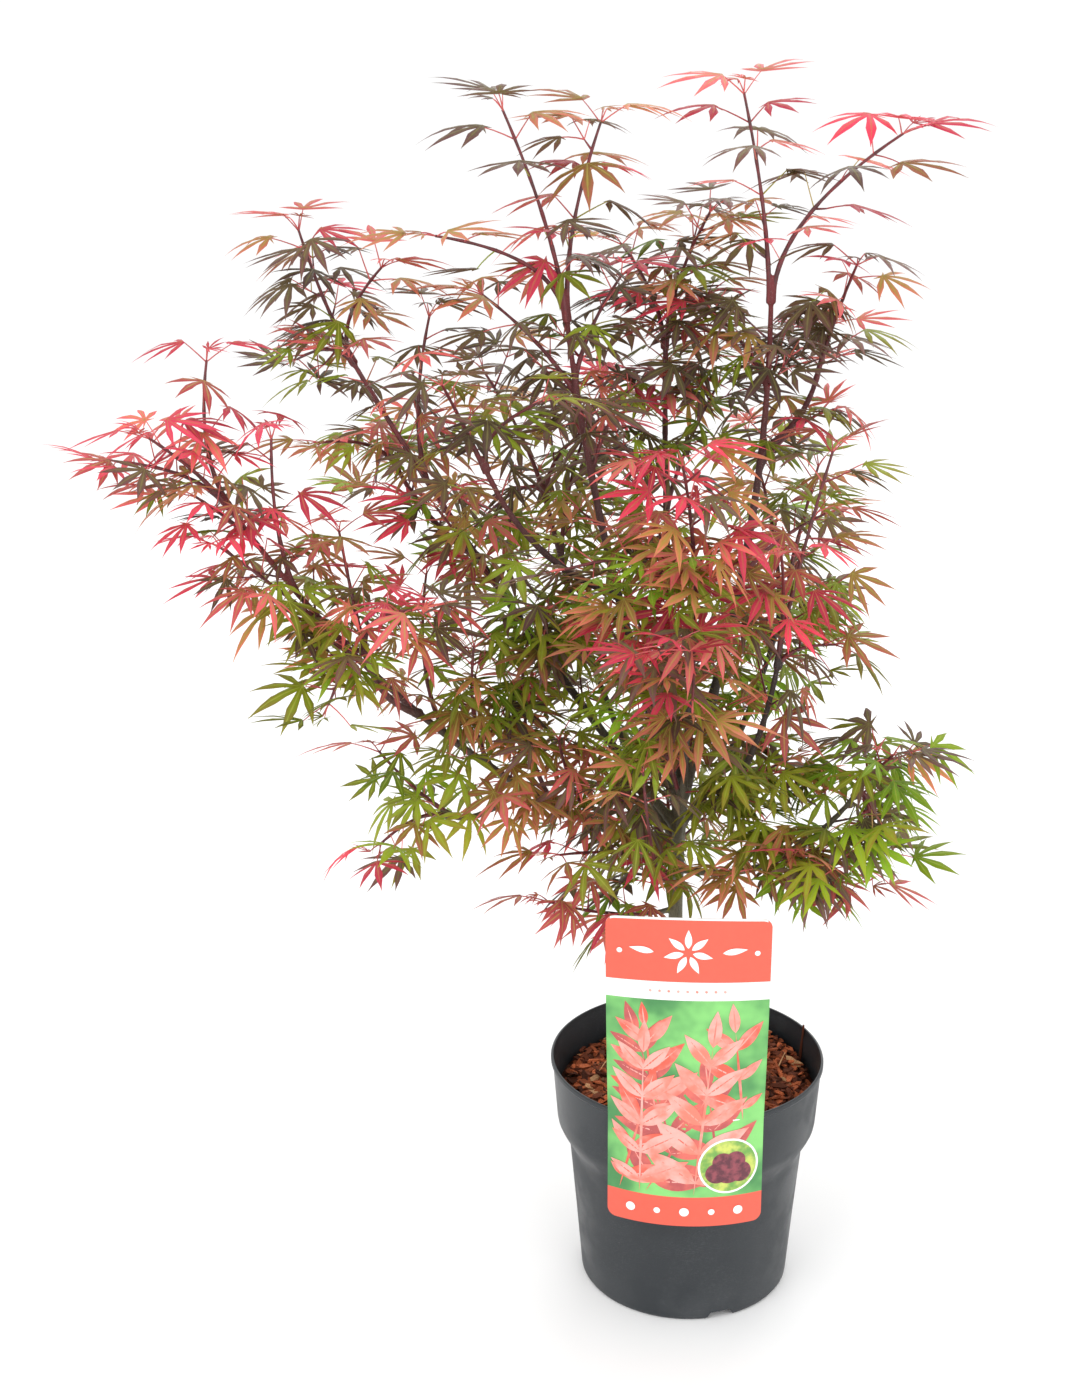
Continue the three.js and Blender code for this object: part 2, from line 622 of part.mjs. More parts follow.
// A three-sided twig that widens at its end into a thin star of lobes. Its root is sunk in the stem.
function leafSolid(leaf) {
  const { root, heading, palm, side, face, size } = leaf;
  const across = side.clone().addScaledVector(heading, -side.dot(heading)).normalize();
  const above = new THREE.Vector3().crossVectors(heading, across).normalize();
  const outline = [bladePoint(leaf, -150, SHOULDER)];
  lobeTips(leaf).forEach((tip, k) => {
    outline.push(tip);
    if (k === LEAF_LOBES.length - 1) return;
    outline.push(bladePoint(leaf, (LEAF_LOBES[k][0] + LEAF_LOBES[k + 1][0]) / 2, LEAF_CUT * size));
  });
  outline.push(bladePoint(leaf, 150, SHOULDER));
  const last = outline.length - 1;
  const [top, bottom, rootLeft, rootRight, rootTop] = [1, 2, 3, 4, 5].map((k) => last + k);
  const points = [
    ...outline,
    palm.clone().addScaledVector(face, LEAF_THICKNESS / 2),
    palm.clone().addScaledVector(face, -LEAF_THICKNESS / 2),
    root.clone().addScaledVector(across, TWIG_DIAMETER / 2),
    root.clone().addScaledVector(across, -TWIG_DIAMETER / 2),
    root.clone().addScaledVector(above, TWIG_DIAMETER / 2),
  ];
  const faces = [
    last, rootLeft, top, rootLeft, rootTop, top, top, rootTop, rootRight, top, rootRight, 0,
    last, bottom, rootLeft, rootLeft, bottom, rootRight, rootRight, bottom, 0,
    rootLeft, rootRight, rootTop,
  ];
  for (let k = 0; k < last; k += 1) faces.push(k, k + 1, top, k + 1, k, bottom);
  const geometry = new THREE.BufferGeometry().setFromPoints(points);
  geometry.setIndex(faces);
  return solidOf(geometry);
}

// The places where leaves may grow on a mass, from its stem's tip down.
function leafPlaces(mass) {
  const places = [];
  const tip = mass.curve.getPoint(1);
  const end = mass.curve.getTangent(1);
  for (let k = 0; k < TIP_LEAVES; k += 1) {
    const turn = 2 * Math.PI * (k + chance(mass.seed, 6)) / TIP_LEAVES;
    const heading = new THREE.Vector3(Math.cos(turn), Math.sin(turn), 0);
    heading.addScaledVector(end, TIP_LEAF_FORWARD);
    const root = tip.clone().addScaledVector(end, -STEM_TIP_DIAMETER / 2);
    places.push({ root, heading: heading.normalize(), length: PETIOLE_LENGTH, keys: [mass.seed, k] });
  }
  for (let k = NODE_COUNT - 1; k >= 0; k -= 1) {
    const share = lerp(FIRST_NODE, LAST_NODE, k / (NODE_COUNT - 1));
    const [along, level, lifted] = crossFrame(mass.curve, share);
    for (const half of [0, 1]) {
      const keys = [mass.seed, 10 + 2 * k + half];
      const turn = Math.PI * (half + k / 2) + TWIG_TURN_SPREAD * (chance(...keys, 4) - 0.5);
      const heading = level.clone().multiplyScalar(Math.cos(turn)).addScaledVector(lifted, Math.sin(turn));
      heading.addScaledVector(along, TWIG_FORWARD).addScaledVector(UP, TWIG_LIFT).normalize();
      const longest = mass.reach * (1 - TWIG_SHORTENING * share);
      const length = PETIOLE_LENGTH + longest * lerp(0.5, 1, chance(...keys, 5));
      places.push({ root: mass.curve.getPoint(share), heading, length, keys });
    }
  }
  return places;
}

// The first way of growing a leaf at a place that fits, if any does.
function fittingLeaf({ root, heading, length, keys }, mass, masses, limbs) {
  for (const [shorter, smaller, turn] of TRIES) {
    const swung = heading.clone().applyAxisAngle(UP, radians(turn));
    const leaf = leafOn(root, swung, length * shorter, smaller, keys);
    if (leafFits(leaf, mass, masses, limbs)) return leaf;
  }
  return null;
}

function growMass(mass, masses, limbs) {
  for (const place of leafPlaces(mass)) {
    if (mass.leaves.length === MOST_LEAVES) break;
    const leaf = fittingLeaf(place, mass, masses, limbs);
    if (leaf) mass.leaves.push(leaf);
  }
  const stemRadius = (share) => lerp(STEM_DIAMETER, STEM_TIP_DIAMETER, share) / 2;
  const stem = solidOf(taperedTube(mass.curve, stemRadius, TWIG_SIDES, STEM_STEPS));
  mass.solid = mainPiece(mass.leaves.reduce((solid, leaf) => solid.add(leafSolid(leaf)), stem));
}

function makeMasses(limbs) {
  const masses = MASSES.map((row, place) => {
    const curve = makeStem(row, limbs);
    return {
      name: `foliage_${row[0]}`,
      reach: row[3],
      seed: place + 1,
      curve,
      segments: segmentsOf(curve, 2 * STEM_STEPS, () => 0),
      leaves: [],
    };
  });
  for (const mass of masses) growMass(mass, masses, limbs);
  return masses;
}

// Foliage is green low down and bronze higher up, with the youngest shoots red.
function foliageColour(mass) {
  if (/left_low|shoot|front_top|high_top|leader/.test(mass.name)) return COLOURS.redLeaf;
  return mass.curve.getPoint(1).z > 570 ? COLOURS.bronzeLeaf : COLOURS.greenLeaf;
}

const tree = new THREE.Group();
const limbs = makeLimbs();
for (const limb of limbs) tree.add(node(limb.name, limb.solid, COLOURS.bark, 0.8));
for (const mass of makeMasses(limbs)) tree.add(node(mass.name, mass.solid, foliageColour(mass), 0.6));

const plant = new THREE.Group();
plant.add(node('pot', makePot(), COLOURS.pot, 0.45));
plant.add(node('soil', makeSoil(), COLOURS.soil, 0.95));
plant.add(node('plant_card', makeCard(), COLOURS.card, 0.35));
plant.add(tree);

export default plant;
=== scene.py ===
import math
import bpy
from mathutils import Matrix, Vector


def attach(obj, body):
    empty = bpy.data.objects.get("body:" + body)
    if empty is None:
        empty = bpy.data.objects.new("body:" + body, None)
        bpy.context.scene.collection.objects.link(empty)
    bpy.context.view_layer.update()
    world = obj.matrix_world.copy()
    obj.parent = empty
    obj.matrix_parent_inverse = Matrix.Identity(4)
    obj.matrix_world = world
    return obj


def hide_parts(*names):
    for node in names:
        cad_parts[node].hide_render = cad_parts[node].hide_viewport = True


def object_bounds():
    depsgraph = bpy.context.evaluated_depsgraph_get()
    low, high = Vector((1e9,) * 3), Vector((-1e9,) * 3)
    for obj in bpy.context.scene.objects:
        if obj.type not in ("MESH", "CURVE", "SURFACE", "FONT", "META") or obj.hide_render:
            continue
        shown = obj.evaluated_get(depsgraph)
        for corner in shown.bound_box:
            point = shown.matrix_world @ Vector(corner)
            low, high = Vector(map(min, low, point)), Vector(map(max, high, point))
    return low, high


bl_info = {
    "name": "Potted Japanese Maple",
    "version": (1, 0, 0),
    "blender": (4, 5, 0),
    "location": "3D View > Sidebar > Maple",
    "description": "A young japanese maple in a nursery pot, with bark, leaves, mulch and a plant card",
    "category": "Add Mesh",
}

import bmesh
import bpy
import numpy as np
from bpy.props import FloatProperty, FloatVectorProperty, IntProperty, PointerProperty
from mathutils import Matrix, Vector

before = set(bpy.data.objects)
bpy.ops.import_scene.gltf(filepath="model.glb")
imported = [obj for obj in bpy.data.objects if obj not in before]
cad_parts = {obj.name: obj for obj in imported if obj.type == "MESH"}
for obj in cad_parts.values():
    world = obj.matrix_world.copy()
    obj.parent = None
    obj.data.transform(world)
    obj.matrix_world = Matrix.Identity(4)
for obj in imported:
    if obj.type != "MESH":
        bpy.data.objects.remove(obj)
CAD_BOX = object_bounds()

# Tables and shape functions are in millimetres. Blender's objects are in metres.
MM = 0.001
UP = np.array((0.0, 0.0, 1.0))
BACKWARDS = np.array((0.0, 1.0, 0.0))
LIMB_NODES = [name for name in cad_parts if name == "trunk" or name.startswith("bough_")]
FOLIAGE_NODES = [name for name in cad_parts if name.startswith("foliage_")]

# The pot's outside below its lip, as radius and height.
POT_OUTSIDE = [
    (70.3, 0), (72.3, 0.6), (73.2, 2), (73.5, 4), (75.6, 30), (77.7, 55), (79.9, 80), (81.8, 101),
    (82.4, 105), (84.3, 109), (86.6, 113), (88.7, 117), (90.0, 120), (90.6, 123), (91.4, 134),
    (92.5, 148), (93.4, 161), (93.7, 163.4), (94.6, 164.4), (95.0, 165), (95.0, 166.8), (94.7, 167.6),
    (94.1, 168), (93.4, 168), (93.1, 167.6),
]
POT_INSIDE = [
    (92.7, 164), (91.5, 161), (90.5, 148), (89.3, 134), (88.4, 125), (87.0, 121), (84.5, 115),
    (81.5, 108), (79.7, 102), (77.8, 80), (75.6, 55), (73.4, 30), (71.2, 6), (68.2, 3),
]
NOTCH_TURNS = (21, 141, 261)
NOTCH_WIDTH = 21
NOTCH_TOP_WIDTH = 14
NOTCH_HEIGHT = 5.5
NOTCH_DEPTH = 17
NOTCH_WALL = 2
FOOT_RADIUS = 73.5
POT_RADIUS = 95
POT_HEIGHT = 168

# The compost, as radius and height, and where its level top begins.
BED_WALL = [
    (70, 13), (72.8, 30), (75.0, 55), (77.2, 80), (79.2, 101), (81.1, 108), (84.1, 115), (86.6, 121),
    (88, 125),
]
BED_TOP = [
    (90.2, 140), (84, 142.5), (74, 144), (62, 145), (48, 145.4), (34, 145.5), (20, 145.5), (7, 145.6),
]
BED_TOP_START = 130
BED_SIDES = 96

# The compost is heaped a little towards the back and right: where, how wide and how high.
HEAP_PLACE = (48, 58)
HEAP_SPREAD = 40
HEAP_HEIGHT = 9

# The bark chips: how far out they are strewn and may reach, how far they stay off the trunk, how high
# they lie on the compost, their lengths as shares of the usual one, and how many are of each colour.
CHIP_SPREAD = 89.4
CHIP_LIMIT = 89.2
CHIP_TRUNK_GAP = 9.5
CHIP_LIFT = (0.2, 4.2)
CHIP_LENGTHS = (0.6, 0.85, 1.1, 1.5)
CHIP_SHARES = (0.5, 0.44, 0.06)
CHIP_THICKEST = 1.8
CHIP_SEED = 7

# Straws on the mulch: direction from the middle in radians, distance from it and length.
STRAW_RADII = (0.55, 0.35)
STRAWS = ((1.2, 50, 26), (2.9, 60, 22), (0.35, 72, 18), (5.2, 66, 24), (4.1, 70, 20))

# A twig that stands up out of the mulch beside the rim.
STICK_FOOT = np.array((80.5, 37.0, 143.0))
STICK_TOP = np.array((83.0, 41.0, 171.0))
STICK_RADII = (1.3, 0.7)

# Plant card: heights where its printed bands meet, the finish of each band, and how it bends.
CARD_BANDS = (90, 112, 257, 270, 313.6, 315)
BAND_FINISHES = (0, 1, 2, 0, 2)
CARD_BEND_RADIUS = 112
CARD_TOP_BEND_RADIUS = 800
CARD_BEND_HEIGHT = 165
CARD_CORNER = 6
CARD_HALF_WIDTH = 53
CARD_BACK = 95.4
HOOK_TURNS = (-21, 21)
HOOK_WIDTH = 8
HOOK_THICKNESS = 1
HOOK_SEAT = 168.3
HOOK_OUTSIDE = 97.3
HOOK_LEG_OUTSIDE = 90
HOOK_DROP = 11
HOOK_BEVEL = 0.25

# The design printed on the card. Sprigs have a foot (across, high), a turn in radians, a length, pairs
# of leaves, a leaf length and a colour. Discs have a middle, a radius and a colour.
PINK, PALE, WHITE, DARK, LIGHT, DEEP = range(6)
FIELD_HALF_WIDTH = 51
FIELD_LOW, FIELD_HIGH = 113, 256
SPRIGS = (
    ((-8, 150), -0.3, 84, 4, 36, DEEP), ((24, 114), -0.12, 80, 4, 38, DEEP),
    ((-26, 114), 0.5, 74, 3, 36, DEEP), ((-20, 176), -0.12, 62, 3, 34, PALE),
    ((38, 168), -0.1, 66, 3, 34, PALE), ((-44, 114), 0.25, 70, 3, 38, PALE),
    ((6, 114), 0.1, 110, 5, 38, PINK), ((-30, 114), 0.02, 104, 5, 34, PINK),
)
BUSH_PLATES = (((29, 135), 20.5, WHITE), ((29, 135), 19, LIGHT))
BUSH_CLUMPS = (((29, 133), 11), ((21, 130), 7.5), ((37, 130), 7.5), ((25, 138), 7), ((33.5, 138.5), 7))
ROSETTE_HEIGHT = 291
FOOT_BAND_HEIGHT = 101
STRIPE_HEIGHT = 263.5

# Trunk and boughs: the limb each leaves, the share of the way along it, the tip (across, deep,
# high), how far the middle bows off the straight line, and the base and tip diameters.
TRUNK = ("trunk", (-2, 2, 142.8), (-6, 0, 362), (-5, -2, 0), 11.5, 9.0)
BOUGHS = [
    ("right", "trunk", 1, (45, 30, 686), (14, 5, 2), 8, 4.6),
    ("centre", "trunk", 0.94, (-83, 10, 677), (-11, 0, 12), 7.4, 4.6),
    ("left_high", "trunk", 0.88, (-225, 40, 644), (-5, -5, -2), 6.6, 4.6),
    ("left_low", "trunk", 0.8, (-290, -60, 571), (-11, 0, -33), 6.6, 4.6),
    ("right_low", "trunk", 0.76, (104, -60, 387), (4, -10, -18), 5.6, 4.6),
    ("back", "trunk", 0.97, (-22, 75, 650), (-4, 22, 0), 6, 4.6),
    ("front", "trunk", 0.85, (0, -95, 530), (0, -25, -20), 6, 4.6),
    ("right_back", "trunk", 0.9, (66, 92, 490), (6, 12, -22), 6, 4.6),
    ("left_back", "trunk", 0.83, (-105, 120, 535), (-6, 16, -22), 6, 4.6),
    ("front_right", "trunk", 0.92, (52, -70, 476), (8, -14, -16), 5.6, 4.6),
    ("front_left", "bough_centre", 0.42, (-130, -45, 592), (-8, -8, -8), 5.4, 4.6),
    ("right_high", "bough_right", 0.7, (76, 44, 634), (5, 2, -4), 5, 4.6),
    ("left_side", "bough_left_low", 0.56, (-205, -75, 482), (-4, -8, -4), 5.2, 4.6),
    ("left_under", "bough_left_low", 0.33, (-158, -42, 360), (-4, -4, -8), 5, 4.6),
    ("left_mid", "bough_left_high", 0.6, (-200, 52, 572), (-4, 4, -6), 5, 4.6),
]
STUBS = ("bough_centre", "bough_right")
TRUNK_FLARE = 4.5
TRUNK_FLARE_HEIGHT = 13
BUD_SPACING = 32
LIMB_RINGS = 42

# The bark mesh: how a bough swells where it leaves its limb, as a share and in base radii, how it
# swells at buds, how slim it ends beside the solid, a pruned stub's length, the radii of the foot that
# each stem of foliage has in the bark, and the size in metres and stretch of the ridges.
COLLAR_SWELLING = 0.45
COLLAR_LENGTH = 1.4
BUD_SWELLING = 0.13
BUD_LENGTH = 3
SLIM_END = 0.76
STUB_LENGTH = 16
STEM_FOOT_RADII = (2.3, 1.5)
RIDGE_SIZE = 0.0035
RIDGE_STRETCH = 7

# Masses of foliage: the limb each grows from, its stem's tip, how far its twigs reach, its
# colouring, how full it is and, on the trunk only, the share of the way up.
MASSES = [
    ("left_low_outer", "bough_left_low", (-362, -50, 596), 42, "scarlet", 0.4),
    ("left_low_top", "bough_left_low", (-330, -85, 618), 34, "scarlet", 0.1),
    ("left_low_shoot", "bough_left_low", (-305, -30, 656), 34, "scarlet", 0.2),
    ("left_side_high", "bough_left_side", (-226, -30, 548), 50, "blush", 0.1),
    ("left_side_low", "bough_left_side", (-226, -92, 452), 50, "olive", 0.75),
    ("left_side_front", "bough_left_side", (-168, -118, 522), 52, "blush", 0.8),
    ("left_under_outer", "bough_left_under", (-206, -26, 398), 22, "fresh", 0.4),
    ("left_hanging", "bough_left_under", (-200, -70, 350), 34, "fresh", 0.15),
    ("left_high_top", "bough_left_high", (-258, 45, 728), 34, "dawn", 0.8),
    ("left_high_inner", "bough_left_high", (-200, 15, 708), 34, "dusk", 0.2),
    ("left_high_outer", "bough_left_high", (-268, 72, 640), 34, "dusk", 0.7),
    ("left_mid_outer", "bough_left_mid", (-244, 12, 596), 40, "blush", 0.1),
    ("left_mid_back", "bough_left_mid", (-224, 112, 548), 52, "olive", 0.4),
    ("back_left_top", "bough_left_back", (-150, 140, 622), 54, "dusk", 0.8),
    ("back_left_outer", "bough_left_back", (-172, 150, 492), 54, "olive", 1.0),
    ("back_left_inner", "bough_left_back", (-58, 165, 590), 54, "dusk", 0.65),
    ("front_left_top", "bough_front_left", (-152, -78, 650), 38, "dusk", 0.2),
    ("front_left_inner", "bough_front_left", (-92, -72, 640), 44, "dusk", 0.1),
    ("centre_left", "bough_centre", (-160, -30, 732), 36, "dawn", 0.15),
    ("centre_leader_left", "bough_centre", (-121, 0, 804), 42, "bronze", 0.35),
    ("centre_leader_mid", "bough_centre", (-62, 18, 796), 42, "bronze", 0.45),
    ("right_leader", "bough_right", (25, 30, 812), 42, "dawn", 0.4),
    ("right_arm", "bough_right", (122, 20, 788), 42, "scarlet", 0.4),
    ("back_top", "bough_back", (6, 60, 738), 46, "dusk", 0.8),
    ("back_shoot", "bough_back", (-53, 112, 712), 48, "dawn", 0.7),
    ("back_side", "bough_back", (24, 145, 640), 54, "dusk", 0.85),
    ("right_high_top", "bough_right_high", (96, 0, 712), 32, "dawn", 0.5),
    ("right_high_outer", "bough_right_high", (86, 88, 662), 36, "dawn", 0.0),
    ("right_mid", "bough_front_right", (84, -22, 600), 42, "blush", 0.55),
    ("right_back_top", "bough_right_back", (84, 122, 560), 46, "olive", 0.3),
    ("right_back_low", "bough_right_back", (76, 118, 420), 50, "fresh", 0.8),
    ("front_right_top", "bough_front_right", (50, -122, 560), 48, "scarlet", 0.3),
    ("front_right_outer", "bough_front_right", (88, -58, 486), 46, "fresh", 0.35),
    ("front_top", "bough_front", (-8, -122, 612), 48, "scarlet", 0.9),
    ("front_side", "bough_front", (-76, -132, 552), 50, "olive", 1.0),
    ("front_low", "bough_front", (0, -142, 476), 50, "blush", 0.9),
    ("right_low_top", "bough_right_low", (124, -86, 424), 34, "fresh", 0.6),
    ("right_low_outer", "bough_right_low", (116, -60, 334), 46, "fresh", 0.65),
    ("trunk_left", "trunk", (-92, -56, 306), 36, "blush", 0.5, 0.62),
    ("trunk_back", "trunk", (-20, 112, 392), 54, "fresh", 0.8, 0.7),
    ("trunk_front", "trunk", (-30, -92, 412), 48, "olive", 0.6, 0.74),
]

# Finer side branches inside the crown: the limb and the share of the way along it, the tip, how far
# their twigs reach, colouring and fullness.
SIDE_BRANCHES = [
    ("bough_left_low", 0.26, (-112, 2, 462), 34, "olive", 1.0),
    ("bough_left_low", 0.4, (-142, -22, 470), 34, "olive", 0.9),
    ("bough_left_low", 0.16, (-86, -40, 414), 32, "olive", 0.35),
    ("bough_left_low", 0.5, (-178, 24, 506), 34, "blush", 0.3),
    ("bough_left_low", 0.74, (-292, -76, 548), 32, "blush", 0.6),
    ("bough_left_low", 0.66, (-262, -88, 520), 30, "olive", 0.15),
    ("bough_left_low", 0.84, (-262, -52, 612), 30, "scarlet", 0.1),
    ("bough_left_low", 0.93, (-304, -84, 582), 30, "scarlet", 0.25),
    ("bough_left_high", 0.5, (-166, -12, 560), 34, "blush", 0.6),
    ("bough_left_high", 0.36, (-92, -34, 500), 34, "olive", 1.0),
    ("bough_left_high", 0.76, (-172, 26, 676), 30, "dusk", 0.25),
    ("bough_centre", 0.82, (-138, 24, 690), 30, "dusk", 0.3),
    ("bough_centre", 0.66, (-44, 34, 628), 32, "dusk", 0.7),
    ("bough_centre", 0.86, (-50, 36, 700), 32, "dusk", 0.6),
    ("bough_back", 0.62, (14, 74, 626), 34, "dusk", 1.0),
    ("bough_back", 0.8, (-20, 52, 688), 32, "dusk", 0.9),
    ("bough_right", 0.66, (80, 44, 612), 30, "dusk", 0.4),
    ("bough_right", 0.44, (84, 30, 548), 32, "dawn", 0.1),
    ("bough_right", 0.82, (8, 40, 678), 30, "dusk", 0.6),
    ("bough_front", 0.3, (-52, -72, 500), 34, "olive", 1.0),
    ("bough_front", 0.5, (-44, -104, 536), 34, "blush", 0.9),
    ("bough_front_right", 0.4, (62, -44, 404), 34, "olive", 1.0),
    ("bough_right_low", 0.42, (64, -78, 352), 30, "olive", 0.6),
    ("bough_right_low", 0.62, (92, -84, 346), 30, "fresh", 0.5),
    ("trunk", 0.7, (-84, -62, 342), 34, "blush", 0.55),
    ("trunk", 0.78, (-58, -54, 384), 32, "olive", 0.8),
    ("bough_left_back", 0.85, (-66, 205, 604), 36, "dusk", 0.6),
    ("bough_right_back", 0.85, (36, 190, 570), 36, "olive", 0.7),
    ("bough_front", 0.85, (-20, -168, 514), 30, "blush", 0.7),
    ("bough_left_high", 0.64, (-222, 10, 652), 32, "blush", 0.5),
]

# Side shoots along the boughs: the limb, the shares where they start and end, their colouring and
# the length of the longest.
BOUGH_SHOOTS = [
    ("trunk", 0.74, 0.98, "olive", 66),
    ("bough_left_low", 0.1, 0.62, "olive", 88),
    ("bough_left_low", 0.62, 0.98, "blush", 66),
    ("bough_left_high", 0.15, 0.5, "olive", 66),
    ("bough_left_high", 0.5, 0.97, "dusk", 54),
    ("bough_centre", 0.2, 0.6, "olive", 62),
    ("bough_centre", 0.6, 0.98, "dusk", 52),
    ("bough_right", 0.12, 0.5, "olive", 56),
    ("bough_right", 0.5, 0.97, "dusk", 50),
    ("bough_back", 0.2, 0.97, "olive", 84),
    ("bough_front", 0.2, 0.95, "olive", 60),
    ("bough_right_back", 0.2, 0.95, "fresh", 66),
    ("bough_left_back", 0.2, 0.95, "olive", 80),
    ("bough_front_right", 0.2, 0.95, "olive", 60),
    ("bough_right_low", 0.25, 0.95, "olive", 66),
    ("bough_front_left", 0.15, 0.95, "dusk", 48),
    ("bough_left_side", 0.25, 0.95, "blush", 60),
    ("bough_left_under", 0.3, 0.85, "fresh", 34),
    ("bough_left_mid", 0.25, 0.95, "dusk", 46),
    ("bough_right_high", 0.25, 0.7, "dusk", 40),
]

# How each colouring deals out the leaf tints to its sprays.
TINTS = ("crimson", "coral", "amber", "bronze", "olive", "green")
COLOURINGS = {
    "scarlet": (0.34, 0.32, 0.18, 0.11, 0.05, 0.00),
    "dawn": (0.05, 0.10, 0.10, 0.64, 0.11, 0.00),
    "blush": (0.05, 0.22, 0.22, 0.18, 0.29, 0.04),
    "bronze": (0.02, 0.12, 0.28, 0.50, 0.08, 0.00),
    "dusk": (0.01, 0.05, 0.15, 0.59, 0.19, 0.01),
    "olive": (0.01, 0.06, 0.22, 0.11, 0.52, 0.08),
    "fresh": (0.00, 0.01, 0.08, 0.16, 0.43, 0.32),
}
YOUNG_TINTS = (0.50, 0.34, 0.12, 0.04, 0.00, 0.00)
YOUNG_SHARES = {
    "scarlet": 1.0, "dawn": 0.9, "blush": 0.7, "bronze": 0.4, "dusk": 0.25, "olive": 0.2, "fresh": 0.08,
}

# Studio: the camera's yaw, pitch down and roll in degrees, and each light's place, size and share of
# the main light's power.
CAMERA_TURN = (-4.53, 18.65, -0.47)
LIGHT_AIM = (0, 0, 0.45)
STUDIO_LIGHTS = (
    ("main_light", (-1.5, -2.0, 2.3), 1.6, 1.0),
    ("fill_light", (1.3, -2.1, 0.7), 1.8, 0.9),
    ("back_light", (0.4, 2.2, 2.0), 1.6, 0.5),
)

# Growth of a mass, by the rule that shapes the solids. Lengths are in millimetres, the rest are shares.
STEM_START_SHARE = 0.4
STEM_OFFSET = 1.9
NODE_COUNT = 5
FIRST_NODE = 0.25
LAST_NODE = 0.88
PETIOLE_LENGTH = 20
STEEP_SHARE = 0.8
FIRST_BRANCH_SEED = 200
LEADER_HEIGHT = 640
LEADER_GAIN = 0.0015
LEAF_PAIR_SPACING = 12
TWIG_SHARE = (0.1, 0.75)
WOODY_SHARE = 0.55
SPARSEST_SHARE = 0.4
SHORTEST_SHOOT = 20
SHOOT_SPACING = 27
SHORTEST_WOOD = 7
FIRST_SHOOT_SEED = 100

# The radius of a stem at its tip and how much more it has at its foot, how far it swells at each ring
# of buds and over what share of its length, and the radii of twigs and leaf stalks at both ends.
STEM_TIP_RADIUS = 0.85
STEM_TAPER = 1.0
STEM_SWELLING = 0.28
STEM_BUD_SHARE = 0.03
TWIG_RADII = (0.85, 0.5)
STALK_RADII = (0.5, 0.34)

# From what age (0 grown, 1 just unfolded) a leaf has its young shape, how far leaves sag, and where
# along a blade its middle lies.
YOUNG_AGE = 0.75
LEAF_SAG = (0.25, 0.95)
BLADE_MIDDLE = 0.45

# How leaves hang, in degrees, low down and high up in the crown, and while young.
DROOP_LOW, DROOP_HIGH = 38, 16
DROOP_LOW_HEIGHT, DROOP_HIGH_HEIGHT = 300, 740
YOUNG_RISE = 16
DROOP_SPREAD = 56
ROLL_SPREAD = 76
SWING_SPREAD = 60

# What a twig or leaf tries until it fits: shares of its stalk and of its size, and a turn in degrees.
TRIES = (
    (1, 1, 0), (0.8, 1, 40), (0.8, 1, -40), (0.5, 0.85, 0), (0.6, 0.8, 80), (0.6, 0.8, -80),
    (0.3, 0.7, 30), (0.3, 0.7, -30),
)

# Leaf lobes: turn from the midrib in degrees, share of the leaf's length, share of a full lobe's
# width, and where along the lobe its sides stand how wide.
LONG_SIDES = ((0.2, 0.74), (0.44, 1.0), (0.68, 0.62), (0.85, 0.22))
MIDDLE_SIDES = ((0.38, 1.0), (0.76, 0.36))
BASAL_SIDES = ()
MATURE_LOBES = (
    (-128, 0.28, 0.5, BASAL_SIDES), (-80, 0.72, 0.9, MIDDLE_SIDES), (-39, 0.94, 1.0, LONG_SIDES),
    (0, 1.0, 1.05, LONG_SIDES), (40, 0.94, 1.0, LONG_SIDES), (81, 0.72, 0.9, MIDDLE_SIDES),
    (129, 0.28, 0.5, BASAL_SIDES),
)
NARROW_LOBES = (
    (-108, 0.24, 0.45, BASAL_SIDES), (-66, 0.66, 0.74, MIDDLE_SIDES), (-32, 0.92, 0.84, LONG_SIDES),
    (0, 1.0, 0.9, LONG_SIDES), (33, 0.9, 0.84, LONG_SIDES), (68, 0.64, 0.74, MIDDLE_SIDES),
    (110, 0.24, 0.45, BASAL_SIDES),
)
YOUNG_LOBES = (
    (-68, 0.6, 0.64, MIDDLE_SIDES), (-32, 0.9, 0.78, MIDDLE_SIDES), (2, 1.0, 0.82, LONG_SIDES),
    (35, 0.88, 0.78, MIDDLE_SIDES), (70, 0.58, 0.64, MIDDLE_SIDES),
)
LOBE_SWEEP = 0.07
LOBE_HALF_WIDTH = 0.084
NOTCH_REACH = (0.125, 0.09)
LOBE_ROOT = (0.14, 0.1)
BLADE_FOLD = 0.26


def colour_property(name, description, default):
    return FloatVectorProperty(
        name=name, description=description, default=(*default, 1.0),
        subtype="COLOR", size=4, min=0, max=1,
    )


def length_property(name, description, default):
    return FloatProperty(
        name=name, description=description, default=default, unit="LENGTH", min=0, precision=4
    )


class PotSettings(bpy.types.PropertyGroup):
    sides: IntProperty(name="Sides", description="Faces round the pot", default=128, min=32)
    floor_recess: length_property(
        "Foot recess", "How far the underside is set in from its foot ring", 0.0008
    )
    colour: colour_property("Plastic", "Colour of the pot", (0.017, 0.021, 0.025))
    scuff: colour_property("Scuffs", "Colour of dust and scuffs", (0.11, 0.115, 0.12))


class MulchSettings(bpy.types.PropertyGroup):
    chips: IntProperty(name="Chips", description="Number of bark chips", default=2300, min=100)
    length: length_property("Chip length", "Usual length of a chip", 0.0085)
    dark: colour_property("Dark bark", "Colour of the weathered chips", (0.140, 0.040, 0.020))
    red: colour_property("Red bark", "Colour of the fresh chips", (0.460, 0.120, 0.047))
    pale: colour_property("Pale wood", "Colour of the split chips and straw", (0.55, 0.30, 0.15))


